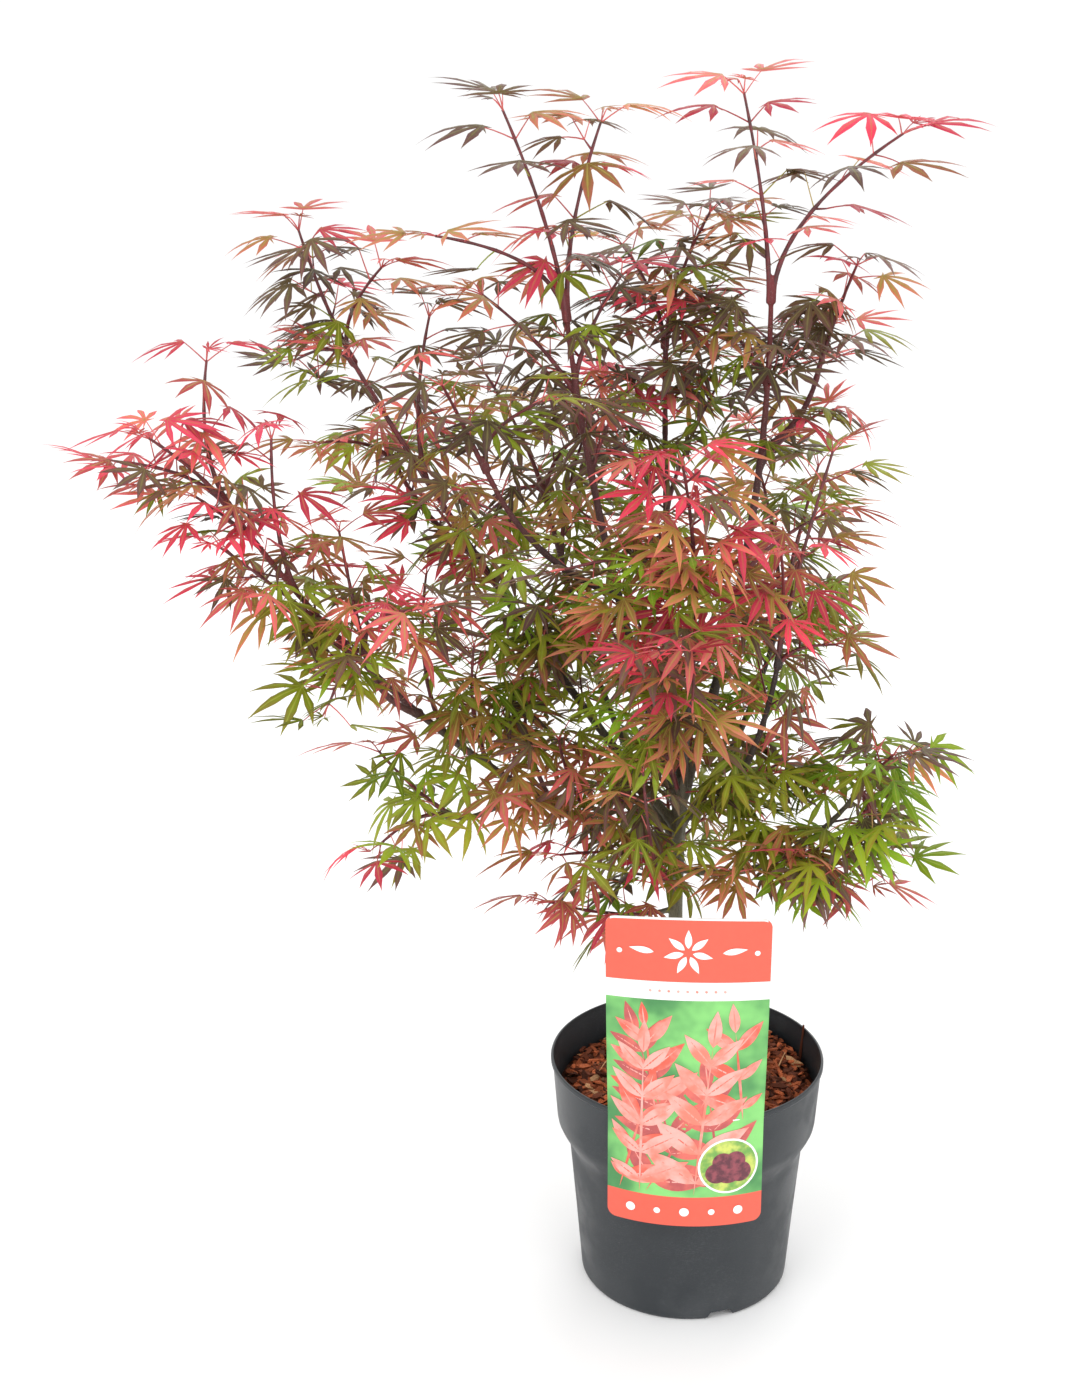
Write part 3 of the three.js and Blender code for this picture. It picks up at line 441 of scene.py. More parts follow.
class CardSettings(bpy.types.PropertyGroup):
    width: length_property("Width", "Width of the card measured round its bend", 0.106)
    thickness: length_property("Thickness", "Thickness of the card", 0.0008)
    coral: colour_property("Coral", "Colour of the header and the foot band", (0.73, 0.096, 0.055))
    white: colour_property("White", "Colour of the stripe and the back", (0.86, 0.86, 0.84))
    field: colour_property("Field", "Lighter green of the printed field", (0.22, 0.60, 0.16))
    shade: colour_property("Field shade", "Darker green of the printed field", (0.045, 0.22, 0.06))
    motif: colour_property("Motif", "Colour of the printed leaf sprays", (0.80, 0.19, 0.13))


class LimbSettings(bpy.types.PropertyGroup):
    voxel: length_property("Detail", "Size of the grid that skins the limbs", 0.001)
    relief: length_property("Relief", "Depth of the bark's ridges", 0.0005)
    old_bark: colour_property("Old bark", "Colour of the trunk near the pot", (0.105, 0.098, 0.066))
    bark: colour_property("Bark", "Colour of the boughs", (0.036, 0.022, 0.022))
    young: colour_property("Young wood", "Colour of the thin red twigs", (0.30, 0.030, 0.040))


class LeafSettings(bpy.types.PropertyGroup):
    length: length_property("Length", "Length of a grown leaf", 0.037)
    petiole: length_property("Leaf stalk", "Length of a leaf's stalk", 0.017)
    crimson: colour_property("Crimson", "Colour of the youngest shoots", (0.68, 0.050, 0.100))
    coral: colour_property("Coral", "Colour of pale red leaves", (0.70, 0.150, 0.140))
    amber: colour_property("Amber", "Colour of orange-brown leaves", (0.48, 0.195, 0.080))
    bronze: colour_property("Bronze", "Colour of purple-brown leaves", (0.128, 0.076, 0.068))
    olive: colour_property("Olive", "Colour of brown-green leaves", (0.280, 0.255, 0.020))
    green: colour_property("Green", "Colour of fresh green leaves", (0.230, 0.400, 0.022))
    vein: colour_property("Veins", "Colour of the midribs", (0.42, 0.43, 0.08))
    underside: colour_property("Undersides", "Colour that the undersides tend to", (0.34, 0.29, 0.10))


class StageSettings(bpy.types.PropertyGroup):
    floor: colour_property("Floor", "Colour of the floor", (0.98, 0.98, 0.98))
    sky: FloatProperty(name="Sky", description="Strength of the even light", default=1.06, min=0)
    key: FloatProperty(
        name="Key light", description="Power of the main light in watts", default=26, min=0
    )
    camera_distance: length_property("Camera distance", "How far in front of the pot the camera is", 1.3)
    camera_height: length_property("Camera height", "Height of the camera", 0.8668)
    lens: FloatProperty(name="Lens", description="Focal length in millimetres", default=35.56, min=1)


# Pieces and their materials.


def clear_selection():
    """Leaves nothing selected, so that an operator acts on its own piece alone."""
    if bpy.context.object and bpy.context.object.mode != "OBJECT":
        bpy.ops.object.mode_set(mode="OBJECT")
    bpy.ops.object.select_all(action="DESELECT")


def only(piece):
    clear_selection()
    piece.select_set(True)
    bpy.context.view_layer.objects.active = piece


def edit(piece):
    """Opens a piece in edit mode with nothing selected."""
    only(piece)
    bpy.ops.object.mode_set(mode="EDIT")
    bpy.ops.mesh.select_mode(type="FACE")
    bpy.ops.mesh.select_all(action="DESELECT")


def select_faces(piece, wanted):
    """Selects the faces whose middle and normal answer a test, in edit mode."""
    mesh = bmesh.from_edit_mesh(piece.data)
    for face in mesh.faces:
        face.select_set(bool(wanted(face.calc_center_median(), face.normal)))
    bmesh.update_edit_mesh(piece.data)


def face_outwards():
    """Turns the faces of the piece in edit mode outwards and leaves that mode."""
    bpy.ops.mesh.select_all(action="SELECT")
    bpy.ops.mesh.normals_make_consistent(inside=False)
    bpy.ops.object.mode_set(mode="OBJECT")


def apply_modifier(piece, kind, **settings):
    only(piece)
    modifier = piece.modifiers.new(kind.lower(), kind)
    for name, value in settings.items():
        setattr(modifier, name, value)
    bpy.ops.object.modifier_apply(modifier=modifier.name)


def cut_or_join(piece, other, operation):
    """Applies a boolean of another object to a piece and removes that object."""
    apply_modifier(piece, "BOOLEAN", object=other, operation=operation, solver="EXACT")
    bpy.data.objects.remove(other)


def settle_place(piece):
    """Puts a piece's place into its mesh, so that its object is at the origin."""
    only(piece)
    bpy.ops.object.transform_apply(location=True, rotation=True, scale=True)


def finish_piece(piece, name, nodes, angle=35):
    """Names a piece, smooths it, hangs it on the root body and hides the solids that it stands in for.
    """
    settle_place(piece)
    piece.name = name
    piece.data.name = name
    bpy.ops.object.shade_smooth_by_angle(angle=math.radians(angle))
    clear_selection()
    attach(piece, "root")
    if nodes:
        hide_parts(*nodes)


def raise_profile(profile, sides):
    """A closed round body raised ring by ring from a filled circle, after [radius, height] in mm."""
    clear_selection()
    radius, height = profile[0]
    bpy.ops.mesh.primitive_circle_add(
        vertices=sides, radius=radius * MM, fill_type="NGON", location=(0, 0, height * MM)
    )
    piece = bpy.context.object
    settle_place(piece)
    edit(piece)
    bpy.ops.mesh.select_all(action="SELECT")
    for (radius, height), (next_radius, next_height) in zip(profile, profile[1:]):
        rise = (0, 0, (next_height - height) * MM)
        bpy.ops.mesh.extrude_region_move(TRANSFORM_OT_translate={"value": rise})
        scale = next_radius / radius
        bpy.ops.transform.resize(value=(scale, scale, 1), center_override=(0, 0, next_height * MM))
    face_outwards()
    return piece


class MeshParts:
    """Many small shapes gathered from arrays into one mesh."""

    def __init__(self):
        self.points = []
        self.faces = []
        self.maps = []
        self.tones = []
        self.kinds = []
        self.count = 0

    def add(self, points, faces, maps=None, tone=(0.5, 0.5, 0.5), kind=0):
        """Adds a shape: its map holds two numbers a point, and its tone three for all of it."""
        self.points.append(np.asarray(points, float))
        self.faces.extend([[corner + self.count for corner in face] for face in faces])
        self.maps.append(np.zeros((len(points), 2)) if maps is None else np.asarray(maps, float))
        self.tones.append(np.tile(np.asarray(tone, float), (len(faces), 1)))
        self.kinds.extend([kind] * len(faces))
        self.count += len(points)

    def build(self, name, materials):
        mesh = bpy.data.meshes.new(name)
        mesh.from_pydata((np.concatenate(self.points) * MM).tolist(), [], self.faces)
        corners = np.zeros(len(mesh.loops), np.int32)
        mesh.loops.foreach_get("vertex_index", corners)
        maps = np.concatenate(self.maps)[corners]
        mesh.uv_layers.new(name="blade").data.foreach_set("uv", maps.ravel())
        tone = mesh.attributes.new("tone", "FLOAT_VECTOR", "FACE")
        tone.data.foreach_set("vector", np.concatenate(self.tones).ravel())
        for material in materials:
            mesh.materials.append(material)
        mesh.polygons.foreach_set("material_index", self.kinds)
        mesh.update()
        piece = bpy.data.objects.new(name, mesh)
        bpy.context.scene.collection.objects.link(piece)
        return piece


def unit(vector):
    return vector / np.linalg.norm(vector)


def lerp(low, high, share):
    return low + (high - low) * share


def turned_about(vector, axis, angle):
    """A vector turned about an axis by an angle in radians."""
    return (
        vector * math.cos(angle) + np.cross(axis, vector) * math.sin(angle)
        + axis * np.dot(axis, vector) * (1 - math.cos(angle))
    )


def tube(points, radii, sides, axis):
    """Points and faces of a closed tube through points, with rings kept level to an axis."""
    points = np.asarray(points, float)
    ahead = np.gradient(points, axis=0)
    ahead /= np.linalg.norm(ahead, axis=1)[:, None]
    level = np.cross(ahead, axis)
    level /= np.linalg.norm(level, axis=1)[:, None]
    lifted = np.cross(level, ahead)
    turns = np.arange(sides) * 2 * np.pi / sides
    across, along = np.cos(turns)[None, :, None], np.sin(turns)[None, :, None]
    around = across * level[:, None] + along * lifted[:, None]
    rings = points[:, None] + np.asarray(radii, float)[:, None, None] * around
    faces = []
    for ring in range(len(points) - 1):
        for side in range(sides):
            after = (side + 1) % sides
            faces.append([
                ring * sides + side, (ring + 1) * sides + side,
                (ring + 1) * sides + after, ring * sides + after,
            ])
    last = (len(points) - 1) * sides
    faces.append(list(range(sides)))
    faces.append([last + side for side in reversed(range(sides))])
    return rings.reshape(-1, 3), faces


# The source's rule of growth.


def chance(*keys):
    """A repeatable number from 0 to 1 for up to four whole-number keys."""
    weights = (12.9898, 78.233, 37.719, 9.151)
    scattered = math.sin(sum(key * weight for key, weight in zip(keys, weights))) * 43758.5453
    return scattered - math.floor(scattered)


class Path:
    """A curve from a start to a tip, drawn towards a control point."""

    def __init__(self, start, control, tip):
        places = (start, control, tip)
        self.start, self.control, self.tip = (np.asarray(place, float) for place in places)
        chord = self.tip - self.start
        steep = abs(chord[2]) > STEEP_SHARE * np.linalg.norm(chord)
        self.axis = BACKWARDS if steep else UP

    def point(self, share):
        rest = 1 - share
        return rest * rest * self.start + 2 * rest * share * self.control + share * share * self.tip

    def tangent(self, share):
        return unit((1 - share) * (self.control - self.start) + share * (self.tip - self.control))

    def frame(self, share):
        tangent = self.tangent(share)
        level = unit(np.cross(tangent, self.axis))
        return tangent, level, np.cross(level, tangent)

    def points(self, steps):
        return np.array([self.point(k / steps) for k in range(steps + 1)])

    def length(self):
        return np.linalg.norm(np.diff(self.points(12), axis=0), axis=1).sum()


class Limb:
    """The trunk or a bough: its path and its radius along it."""

    def __init__(self, name, start, tip, bow, base, end):
        start, tip, bow = (np.asarray(place, float) for place in (start, tip, bow))
        self.name = name
        self.path = Path(start, (start + tip) / 2 + 2 * bow, tip)
        self.base = base / 2
        self.end = end / 2

    def radius(self, share):
        return lerp(self.base, self.end, share)


def make_limbs():
    name, *sizes = TRUNK
    limbs = {name: Limb(name, *sizes)}
    for name, parent, share, tip, bow, base, end in BOUGHS:
        start = limbs[parent].path.point(share)
        limbs["bough_" + name] = Limb("bough_" + name, start, tip, bow, base, end)
    return limbs


def stem_start(row, limbs):
    """Where a mass's stem leaves its limb, and its direction there."""
    limb = limbs[row[1]]
    tip = np.asarray(row[2], float)
    if len(row) > 6:
        centre = limb.path.point(row[6])
        axis = limb.path.tangent(row[6])
        out = tip - centre
        out = unit(out - axis * out.dot(axis))
        return centre + out * limb.radius(row[6]) * 0.7, out
    along, level, lifted = limb.path.frame(1)
    end = limb.path.point(1)

    def turn_of(other):
        away = np.asarray(other[2], float) - end
        return math.atan2(away.dot(lifted), away.dot(level))

    siblings = sorted((other for other in MASSES if other[1] == row[1]), key=turn_of)
    if len(siblings) > 1:
        spread = 2 * math.pi / len(siblings)
        first = sum(turn_of(other) - k * spread for k, other in enumerate(siblings)) / len(siblings)
        turn = first + siblings.index(row) * spread
        end = end + (level * math.cos(turn) + lifted * math.sin(turn)) * STEM_OFFSET * 0.6
    return end - along * 2, along


class Mass:
    """A mass of foliage on its stem, or a finer branch that belongs to no mass."""

    def __init__(self, seed, start, along, tip, reach, colouring, fullness, name=None):
        self.seed, self.name = seed, name
        self.reach, self.colouring, self.fullness = reach, colouring, fullness
        tip = np.asarray(tip, float)
        self.path = Path(start, start + along * STEM_START_SHARE * np.linalg.norm(tip - start), tip)


def make_masses(limbs):
    return [
        Mass(place + 1, *stem_start(row, limbs), *row[2:6], name=row[0])
        for place, row in enumerate(MASSES)
    ]


def make_side_branches(limbs):
    branches = []
    for place, (name, share, tip, *habit) in enumerate(SIDE_BRANCHES):
        path = limbs[name].path
        start, along = path.point(share), path.tangent(share)
        along = unit(along + unit(np.asarray(tip, float) - start))
        branches.append(Mass(FIRST_BRANCH_SEED + place, start, along, tip, *habit))
    return branches


def leaf_directions(root, heading, keys, age):
    """The midrib, side and face directions of a leaf: it droops more low down, and less while young."""
    level = math.atan2(heading[1], heading[0]) + math.radians(SWING_SPREAD) * (chance(*keys, 1) - 0.5)
    height = min(1, max(0, (root[2] - DROOP_LOW_HEIGHT) / (DROOP_HIGH_HEIGHT - DROOP_LOW_HEIGHT)))
    steady = 1 - 0.6 * height ** 3
    droop = lerp(DROOP_LOW, DROOP_HIGH, height) * (1 - age) - YOUNG_RISE * age
    droop = math.radians(droop + DROOP_SPREAD * steady * (chance(*keys, 2) - 0.5))
    roll = math.radians(ROLL_SPREAD) * steady * (chance(*keys, 3) - 0.5)
    out = math.cos(droop)
    midrib = np.array((math.cos(level) * out, math.sin(level) * out, -math.sin(droop)))
    side = np.array((-math.sin(level), math.cos(level), 0.0))
    side = side * math.cos(roll) + np.cross(midrib, side) * math.sin(roll)
    return midrib, side, np.cross(midrib, side)


# Leaves, twigs and the crown that they make.


class LeafPattern:
    """A palmate leaf one unit long, with its palm at zero and its midrib along X."""

    def __init__(self, lobes):
        self.places = []
        self.maps = []
        self.faces = []
        palm = self.point(0, 0, 0, 0.03, 0, 0)
        heel = self.point(180, 0.04, 0, 0, 1, 0)
        middles = [(turn + after) / 2 for (turn, *_), (after, *_) in zip(lobes, lobes[1:])]
        notches = [self.point(turn, NOTCH_REACH[abs(turn) > 70], 0, 0, 1, 0.1) for turn in middles]
        for lobe, right, left in zip(lobes, [heel, *notches], [*notches, heel]):
            self.add_lobe(lobe, palm, right, left)
        self.places = np.array(self.places)
        self.maps = np.array(self.maps)

    def point(self, turn, along, across, lift, edge, share):
        """Adds a point along a lobe and across it, with its place on the blade's own map."""
        angle = math.radians(turn)
        ahead = np.array((math.cos(angle), math.sin(angle)))
        flat = ahead * along + np.array((-ahead[1], ahead[0])) * across
        self.places.append((*flat, lift))
        self.maps.append((edge, share))
        return len(self.places) - 1

    def add_lobe(self, lobe, palm, right, left):
        """One lobe from its notches to its tip, folded up along its midrib."""
        turn, length, width, stations = lobe
        half_width = width * LOBE_HALF_WIDTH
        root = LOBE_ROOT[length < 0.5]
        rib = self.point(turn, root, 0, half_width * BLADE_FOLD, 0, 0.1)
        self.faces.append([palm, right, rib, left])
        for share, spread in stations:
            along = lerp(root, length, share)
            bend = turn * (1 - LOBE_SWEEP * share)
            half = half_width * spread
            next_right = self.point(bend, along, -half, 0, 1, share)
            next_rib = self.point(bend, along + half * 0.5, 0, half * BLADE_FOLD, 0, share)
            next_left = self.point(bend, along, half, 0, 1, share)
            self.faces.append([rib, right, next_right, next_rib])
            self.faces.append([rib, next_rib, next_left, left])
            right, rib, left = next_right, next_rib, next_left
        tip = self.point(turn * (1 - LOBE_SWEEP), length, 0, 0, 0, 1)
        self.faces.append([rib, right, tip])
        self.faces.append([rib, tip, left])

    def placed(self, palm, midrib, side, face, size, sag):
        """The pattern's points at a palm, with its lobes sagging towards their tips."""
        x, y, z = self.places.T
        z = z - sag * 0.5 * (x * x + y * y)
        return palm + size * (x[:, None] * midrib + y[:, None] * side + z[:, None] * face)


def varied(lobes, seed):
    """A leaf's lobes with their turns, lengths and widths a little uneven."""
    return [
        (
            turn + 12 * (chance(seed, place, 1) - 0.5),
            length * lerp(0.84, 1.08, chance(seed, place, 2)),
            width * lerp(0.85, 1.1, chance(seed, place, 3)),
            sides,
        )
        for place, (turn, length, width, sides) in enumerate(lobes)
    ]


def segment_distances(points, starts, ends):
    """Distances from each point to each straight segment."""
    along = ends - starts
    away = points[:, None] - starts[None]
    share = np.clip((away * along).sum(2) / (along ** 2).sum(1), 0, 1)
    return np.linalg.norm(away - share[..., None] * along, axis=2)


class Crown:
    """The twigs and leaves grown on from the limbs, each kept clear of what is already there."""

    SLACK = 12
    LIMB_CLEARANCE = 3.5
    TWIG_CLEARANCE = 2
    POT_CLEARANCE = 8
    LEAF_SPACING = 8
    BOX_CLEARANCE = 9

    def __init__(self, limbs, masses, branches, settings):
        self.limbs = limbs
        self.masses = masses
        self.branches = branches
        self.length = settings.length / MM
        self.petiole = settings.petiole / MM
        grown = [varied(lobes, seed) for seed in range(4) for lobes in (MATURE_LOBES, NARROW_LOBES)]
        self.grown = [LeafPattern(lobes) for lobes in grown]
        self.young = [LeafPattern(varied(YOUNG_LOBES, seed)) for seed in range(4, 7)]
        self.twigs = MeshParts()
        self.stalks = MeshParts()
        self.leaves = {tint: MeshParts() for tint in TINTS}
        self.nodes = {tint: set() for tint in TINTS}
        self.blades = np.zeros((0, 3))
        steps = 12
        chains = [limb.path.points(steps) for limb in limbs.values()]
        self.limb_starts = np.concatenate([chain[:-1] for chain in chains])
        self.limb_ends = np.concatenate([chain[1:] for chain in chains])
        self.limb_radii = np.concatenate([
            [limb.radius(k / steps) for k in range(steps)] for limb in limbs.values()
        ])
        stems = [mass.path.points(6) for mass in masses]
        self.stem_starts = np.concatenate([chain[:-1] for chain in stems])
        self.stem_ends = np.concatenate([chain[1:] for chain in stems])
        self.stem_owner = np.repeat(np.arange(len(masses)), 6)
        lowest, highest = (np.asarray(corner, float) / MM for corner in CAD_BOX)
        self.lowest = lowest - self.BOX_CLEARANCE
        self.highest = highest + self.BOX_CLEARANCE

    def clear_of_pot(self, points):
        x, y, z = points.T
        gap = self.POT_CLEARANCE
        by_pot = (np.hypot(x, y) < POT_RADIUS + gap) & (z < POT_HEIGHT + gap)
        before_pot = (np.abs(x) < CARD_HALF_WIDTH + gap) & (y < 2 * gap - POT_RADIUS)
        by_card = before_pot & (z < CARD_BANDS[-1] + gap)
        return not (by_pot | by_card).any()

    def clear_of_limbs(self, points, clearance):
        gaps = segment_distances(points, self.limb_starts, self.limb_ends) - self.limb_radii
        return gaps.min() > clearance

    def in_own_space(self, points, owner):
        """Whether points lie nearer their own mass's stem than any other's, with some slack."""
        if owner is None:
            return True
        gaps = segment_distances(points, self.stem_starts, self.stem_ends)
        own = gaps[:, self.stem_owner == owner].min(1)
        return (own < gaps[:, self.stem_owner != owner].min(1) + self.SLACK).all()

    def leaf_fits(self, points, blade, owner):
        if (points < self.lowest).any() or (points > self.highest).any():
            return False
        if not self.clear_of_pot(points) or not self.clear_of_limbs(points, self.LIMB_CLEARANCE):
            return False
        if not self.in_own_space(points[:1], owner):
            return False
        if not len(self.blades):
            return True
        return np.linalg.norm(self.blades - blade, axis=1).min() > self.LEAF_SPACING

    def add_leaf(self, root, heading, length, size, keys, tint, age, owner):
        """A leaf on its stalk, turned or made smaller until it fits."""
        patterns = self.young if age > YOUNG_AGE else self.grown
        pattern = patterns[int(chance(*keys, 7) * len(patterns))]
        sag = lerp(*LEAF_SAG, chance(*keys, 9))
        size *= 1 + LEADER_GAIN * max(0, root[2] - LEADER_HEIGHT)
        for shorter, smaller, turn in TRIES:
            direction = turned_about(heading, UP, math.radians(turn))
            palm = root + direction * length * shorter
            midrib, side, face = leaf_directions(root, direction, keys, age)
            full = self.length * size * smaller
            points = pattern.placed(palm, midrib, side, face, full, sag)
            blade = palm + midrib * full * BLADE_MIDDLE
            if not self.leaf_fits(points, blade, owner):
                continue
            self.blades = np.vstack((self.blades, blade))
            tone = (chance(*keys, 11), age, chance(*keys, 16))
            self.leaves[tint].add(points, pattern.faces, pattern.maps, tone)
            if owner is not None:
                self.nodes[tint].add("foliage_" + self.masses[owner].name)
            joint = palm - midrib * 0.03 * full
            stalk = Path(root, root + direction * length * shorter * 0.55 + UP * 1.2, joint)
            radii = np.linspace(*STALK_RADII, 4)
            self.stalks.add(*tube(stalk.points(3), radii, 4, side), tone=tone)
            return

    def deal_tint(self, colouring, share, young):
        """The tint of a spray, dealt out by its colouring and redder the younger it is."""
        young *= YOUNG_SHARES[colouring]
        weights = lerp(np.array(COLOURINGS[colouring]), np.array(YOUNG_TINTS), young)
        return TINTS[int(np.searchsorted(np.cumsum(weights) / weights.sum(), min(share, 0.999)))]

    def grow_twig(self, root, heading, length, keys, colouring, fullness, owner, young=0.0):
        """A side twig with crossed pairs of leaves on its wood and a leaf at its end."""
        tint = self.deal_tint(colouring, chance(*keys, 8), young)
        end_tint = self.deal_tint(colouring, chance(*keys, 17), max(young, 0.12))
        age = lerp(chance(*keys, 10) * 0.6, 0.8, young)
        wood = (length - self.petiole) * min(1, fullness * 1.4)
        if chance(*keys, 19) > SPARSEST_SHARE + fullness:
            return
        if wood < SHORTEST_WOOD or chance(*keys, 18) > WOODY_SHARE:
            stalk = self.petiole * lerp(0.9, 1.5, chance(*keys, 14))
            size = lerp(0.75, 1.08, chance(*keys, 13))
            self.add_leaf(root, heading, stalk, size, keys, tint, age, owner)
            return
        for shorter, _, turn in TRIES:
            direction = turned_about(heading, UP, math.radians(turn))
            tip = root + direction * wood * shorter + UP * wood * 0.08
            path = Path(root, root + direction * wood * shorter * 0.5, tip)
            outer = path.points(6)[2:]
            fits = self.clear_of_limbs(outer, self.TWIG_CLEARANCE) and self.clear_of_pot(outer)
            if fits and self.in_own_space(outer, owner):
                break
        else:
            return
        axis = BACKWARDS if abs(direction[2]) > STEEP_SHARE else UP
        radii = np.linspace(*TWIG_RADII, 5)
        self.twigs.add(*tube(path.points(4), radii, 5, axis), tone=(age, 0.5, 0))
        self.add_leaf(tip, path.tangent(1), self.petiole, 1, keys, end_tint, age, owner)
        pairs = 1 + int(wood * shorter * fullness / LEAF_PAIR_SPACING)
        for pair in range(pairs):
            share = 1 - 0.92 * pair / max(pairs, 2)
            tangent, level, lifted = path.frame(share)
            across = level if pair % 2 == 0 else lifted
            for half in (-1, 1):
                leaf_keys = (keys[0], keys[1] * 10 + 2 * pair + (half + 1) // 2)
                if chance(*leaf_keys, 12) > 0.35 + 0.65 * fullness:
                    continue
                out = unit(across * half + tangent * 0.55 + UP * 0.2)
                size = lerp(0.66, 1.08, chance(*leaf_keys, 13))
                stalk = self.petiole * lerp(0.6, 1.0, chance(*leaf_keys, 14))
                self.add_leaf(path.point(share), out, stalk, size, leaf_keys, tint, age, owner)

    def grow_mass(self, mass, owner):
        """A stem, its crossed pairs of side twigs and the young leaves at its tip."""
        path = mass.path
        shares = np.linspace(0, 1, 19)
        nodes = np.linspace(FIRST_NODE, LAST_NODE, NODE_COUNT)
        swelling = np.exp(-(((shares[:, None] - nodes) / STEM_BUD_SHARE) ** 2)).sum(1)
        swelling = 1 + STEM_SWELLING * swelling
        radii = (STEM_TIP_RADIUS + STEM_TAPER * (1 - shares) ** 1.6) * swelling
        self.twigs.add(*tube([path.point(s) for s in shares], radii, 7, path.axis), tone=(0.25, 0.3, 0))
        tip, end = path.point(1), path.tangent(1)
        young = self.deal_tint(mass.colouring, chance(mass.seed, 15), 0.9)
        for k in range(2):
            turn = 2 * math.pi * (k + chance(mass.seed, 6)) / 2
            heading = unit(np.array((math.cos(turn), math.sin(turn), 0)) + end * 0.8)
            self.add_leaf(tip - end * 1.1, heading, PETIOLE_LENGTH, 1, (mass.seed, k), young, 0.8, owner)
        for k in range(2):
            turn = math.pi * (k + 0.5 + chance(mass.seed, 6))
            heading = unit(np.array((math.cos(turn), math.sin(turn), 0)) + end * 2.2)
            self.add_leaf(tip, heading, 9, 0.42, (mass.seed, 4 + k), young, 1.0, owner)
        for k in reversed(range(NODE_COUNT)):
            tangent, level, lifted = path.frame(nodes[k])
            for half in (0, 1):
                keys = (mass.seed, 10 + 2 * k + half)
                turn = math.pi * (half + k / 2) + 0.8 * (chance(*keys, 4) - 0.5)
                heading = level * math.cos(turn) + lifted * math.sin(turn)
                heading = unit(heading + tangent * 0.5 + UP * 0.2)
                longest = mass.reach * (1 - 0.4 * nodes[k])
                length = self.petiole + longest * lerp(*TWIG_SHARE, chance(*keys, 5))
                young = 0.6 * max(0, nodes[k] - 0.5) / (LAST_NODE - 0.5)
                start = path.point(nodes[k])
                self.grow_twig(start, heading, length, keys, mass.colouring, mass.fullness, owner, young)

    def grow_bough_shoots(self, seed, name, first, last, colouring, longest):
        """Short side shoots in crossed pairs along a bough."""
        limb = self.limbs[name]
        count = int(limb.path.length() * (last - first) / SHOOT_SPACING)
        for k in range(count):
            share = lerp(first, last, (k + 0.5) / count)
            tangent, level, lifted = limb.path.frame(share)
            for half in (0, 1):
                keys = (seed, 10 + 2 * k + half)
                turn = math.pi * (half + k / 2) + 1.1 * (chance(*keys, 4) - 0.5)
                out = level * math.cos(turn) + lifted * math.sin(turn)
                root = limb.path.point(share) + out * limb.radius(share) * 0.6
                heading = unit(out + tangent * 0.5 + UP * 0.3)
                length = lerp(SHORTEST_SHOOT, longest, chance(*keys, 5))
                self.grow_twig(root, heading, length, keys, colouring, 1.0, None)

    def grow(self):
        for owner, mass in enumerate(self.masses):
            self.grow_mass(mass, owner)
        for branch in self.branches:
            self.grow_mass(branch, None)
        for place, row in enumerate(BOUGH_SHOOTS):
            self.grow_bough_shoots(FIRST_SHOOT_SEED + place, *row)


# Finishes.


class Shader:
    """The node tree of a finish or of a shared effect while it is wired."""

    def __init__(self, tree):
        self.tree = tree

    def node(self, kind, inputs=(), **settings):
        made = self.tree.nodes.new("ShaderNode" + kind)
        for name, value in settings.items():
            setattr(made, name, value)
        for name, value in dict(inputs).items():
            self.feed(made.inputs[name], value)
        return made

    def feed(self, socket, value):
        if isinstance(value, bpy.types.NodeSocket):
            self.tree.links.new(value, socket)
        else:
            socket.default_value = value

    def maths(self, operation, *values, clamp=False):
        made = self.node("Math", enumerate(values), operation=operation, use_clamp=clamp)
        return made.outputs[0]

    def span(self, value, low, high, from_low=0.0, to_high=1.0):
        """A value mapped smoothly from between two numbers to between two others."""
        sockets = {
            "Value": value, "From Min": low, "From Max": high, "To Min": from_low, "To Max": to_high,
        }
        return self.node("MapRange", sockets, interpolation_type="SMOOTHSTEP").outputs[0]

    def mix(self, share, first, second, blend="MIX"):
        made = self.node("Mix", data_type="RGBA", blend_type=blend)
        for place, value in ((0, share), (6, first), (7, second)):
            self.feed(made.inputs[place], value)
        return made.outputs[2]

    def noise(self, place, scale, detail=4.0, roughness=0.55):
        sockets = {"Vector": place, "Scale": scale, "Detail": detail, "Roughness": roughness}
        return self.node("TexNoise", sockets).outputs["Fac"]

    def times(self, first, second):
        return self.maths("MULTIPLY", first, second)

    def object_place(self):
        return self.node("TexCoord").outputs["Object"]

    def object_height(self):
        return self.node("SeparateXYZ", {"Vector": self.object_place()}).outputs["Z"]

    def tone(self):
        """The three numbers that each shape of a joined mesh carries."""
        tone = self.node("Attribute", attribute_name="tone").outputs["Vector"]
        return self.node("SeparateXYZ", {"Vector": tone}).outputs

    def stretched(self, place, stretch):
        return self.node("VectorMath", {0: place, 1: stretch}, operation="MULTIPLY").outputs[0]

    def bump(self, height, strength, distance):
        sockets = {"Height": height, "Strength": strength, "Distance": distance}
        return self.node("Bump", sockets).outputs[0]

    def dress(self, surface, colour, roughness, normal=None):
        """Feeds a shader its colour, its roughness and, where it has one, its relief."""
        self.feed(surface.inputs["Base Color"], colour)
        self.feed(surface.inputs["Roughness"], roughness)
        if normal:
            self.feed(surface.inputs["Normal"], normal)


def shared_effect(name, inputs, outputs):
    """An empty node group with named sockets, its wiring and its two end nodes."""
    group = bpy.data.node_groups.new(name, "ShaderNodeTree")
    for label, kind in inputs:
        group.interface.new_socket(name=label, in_out="INPUT", socket_type="NodeSocket" + kind)
    for label, kind in outputs:
        group.interface.new_socket(name=label, in_out="OUTPUT", socket_type="NodeSocket" + kind)
    shader = Shader(group)
    given = group.nodes.new("NodeGroupInput").outputs
    wanted = group.nodes.new("NodeGroupOutput").inputs
    return group, shader, given, wanted


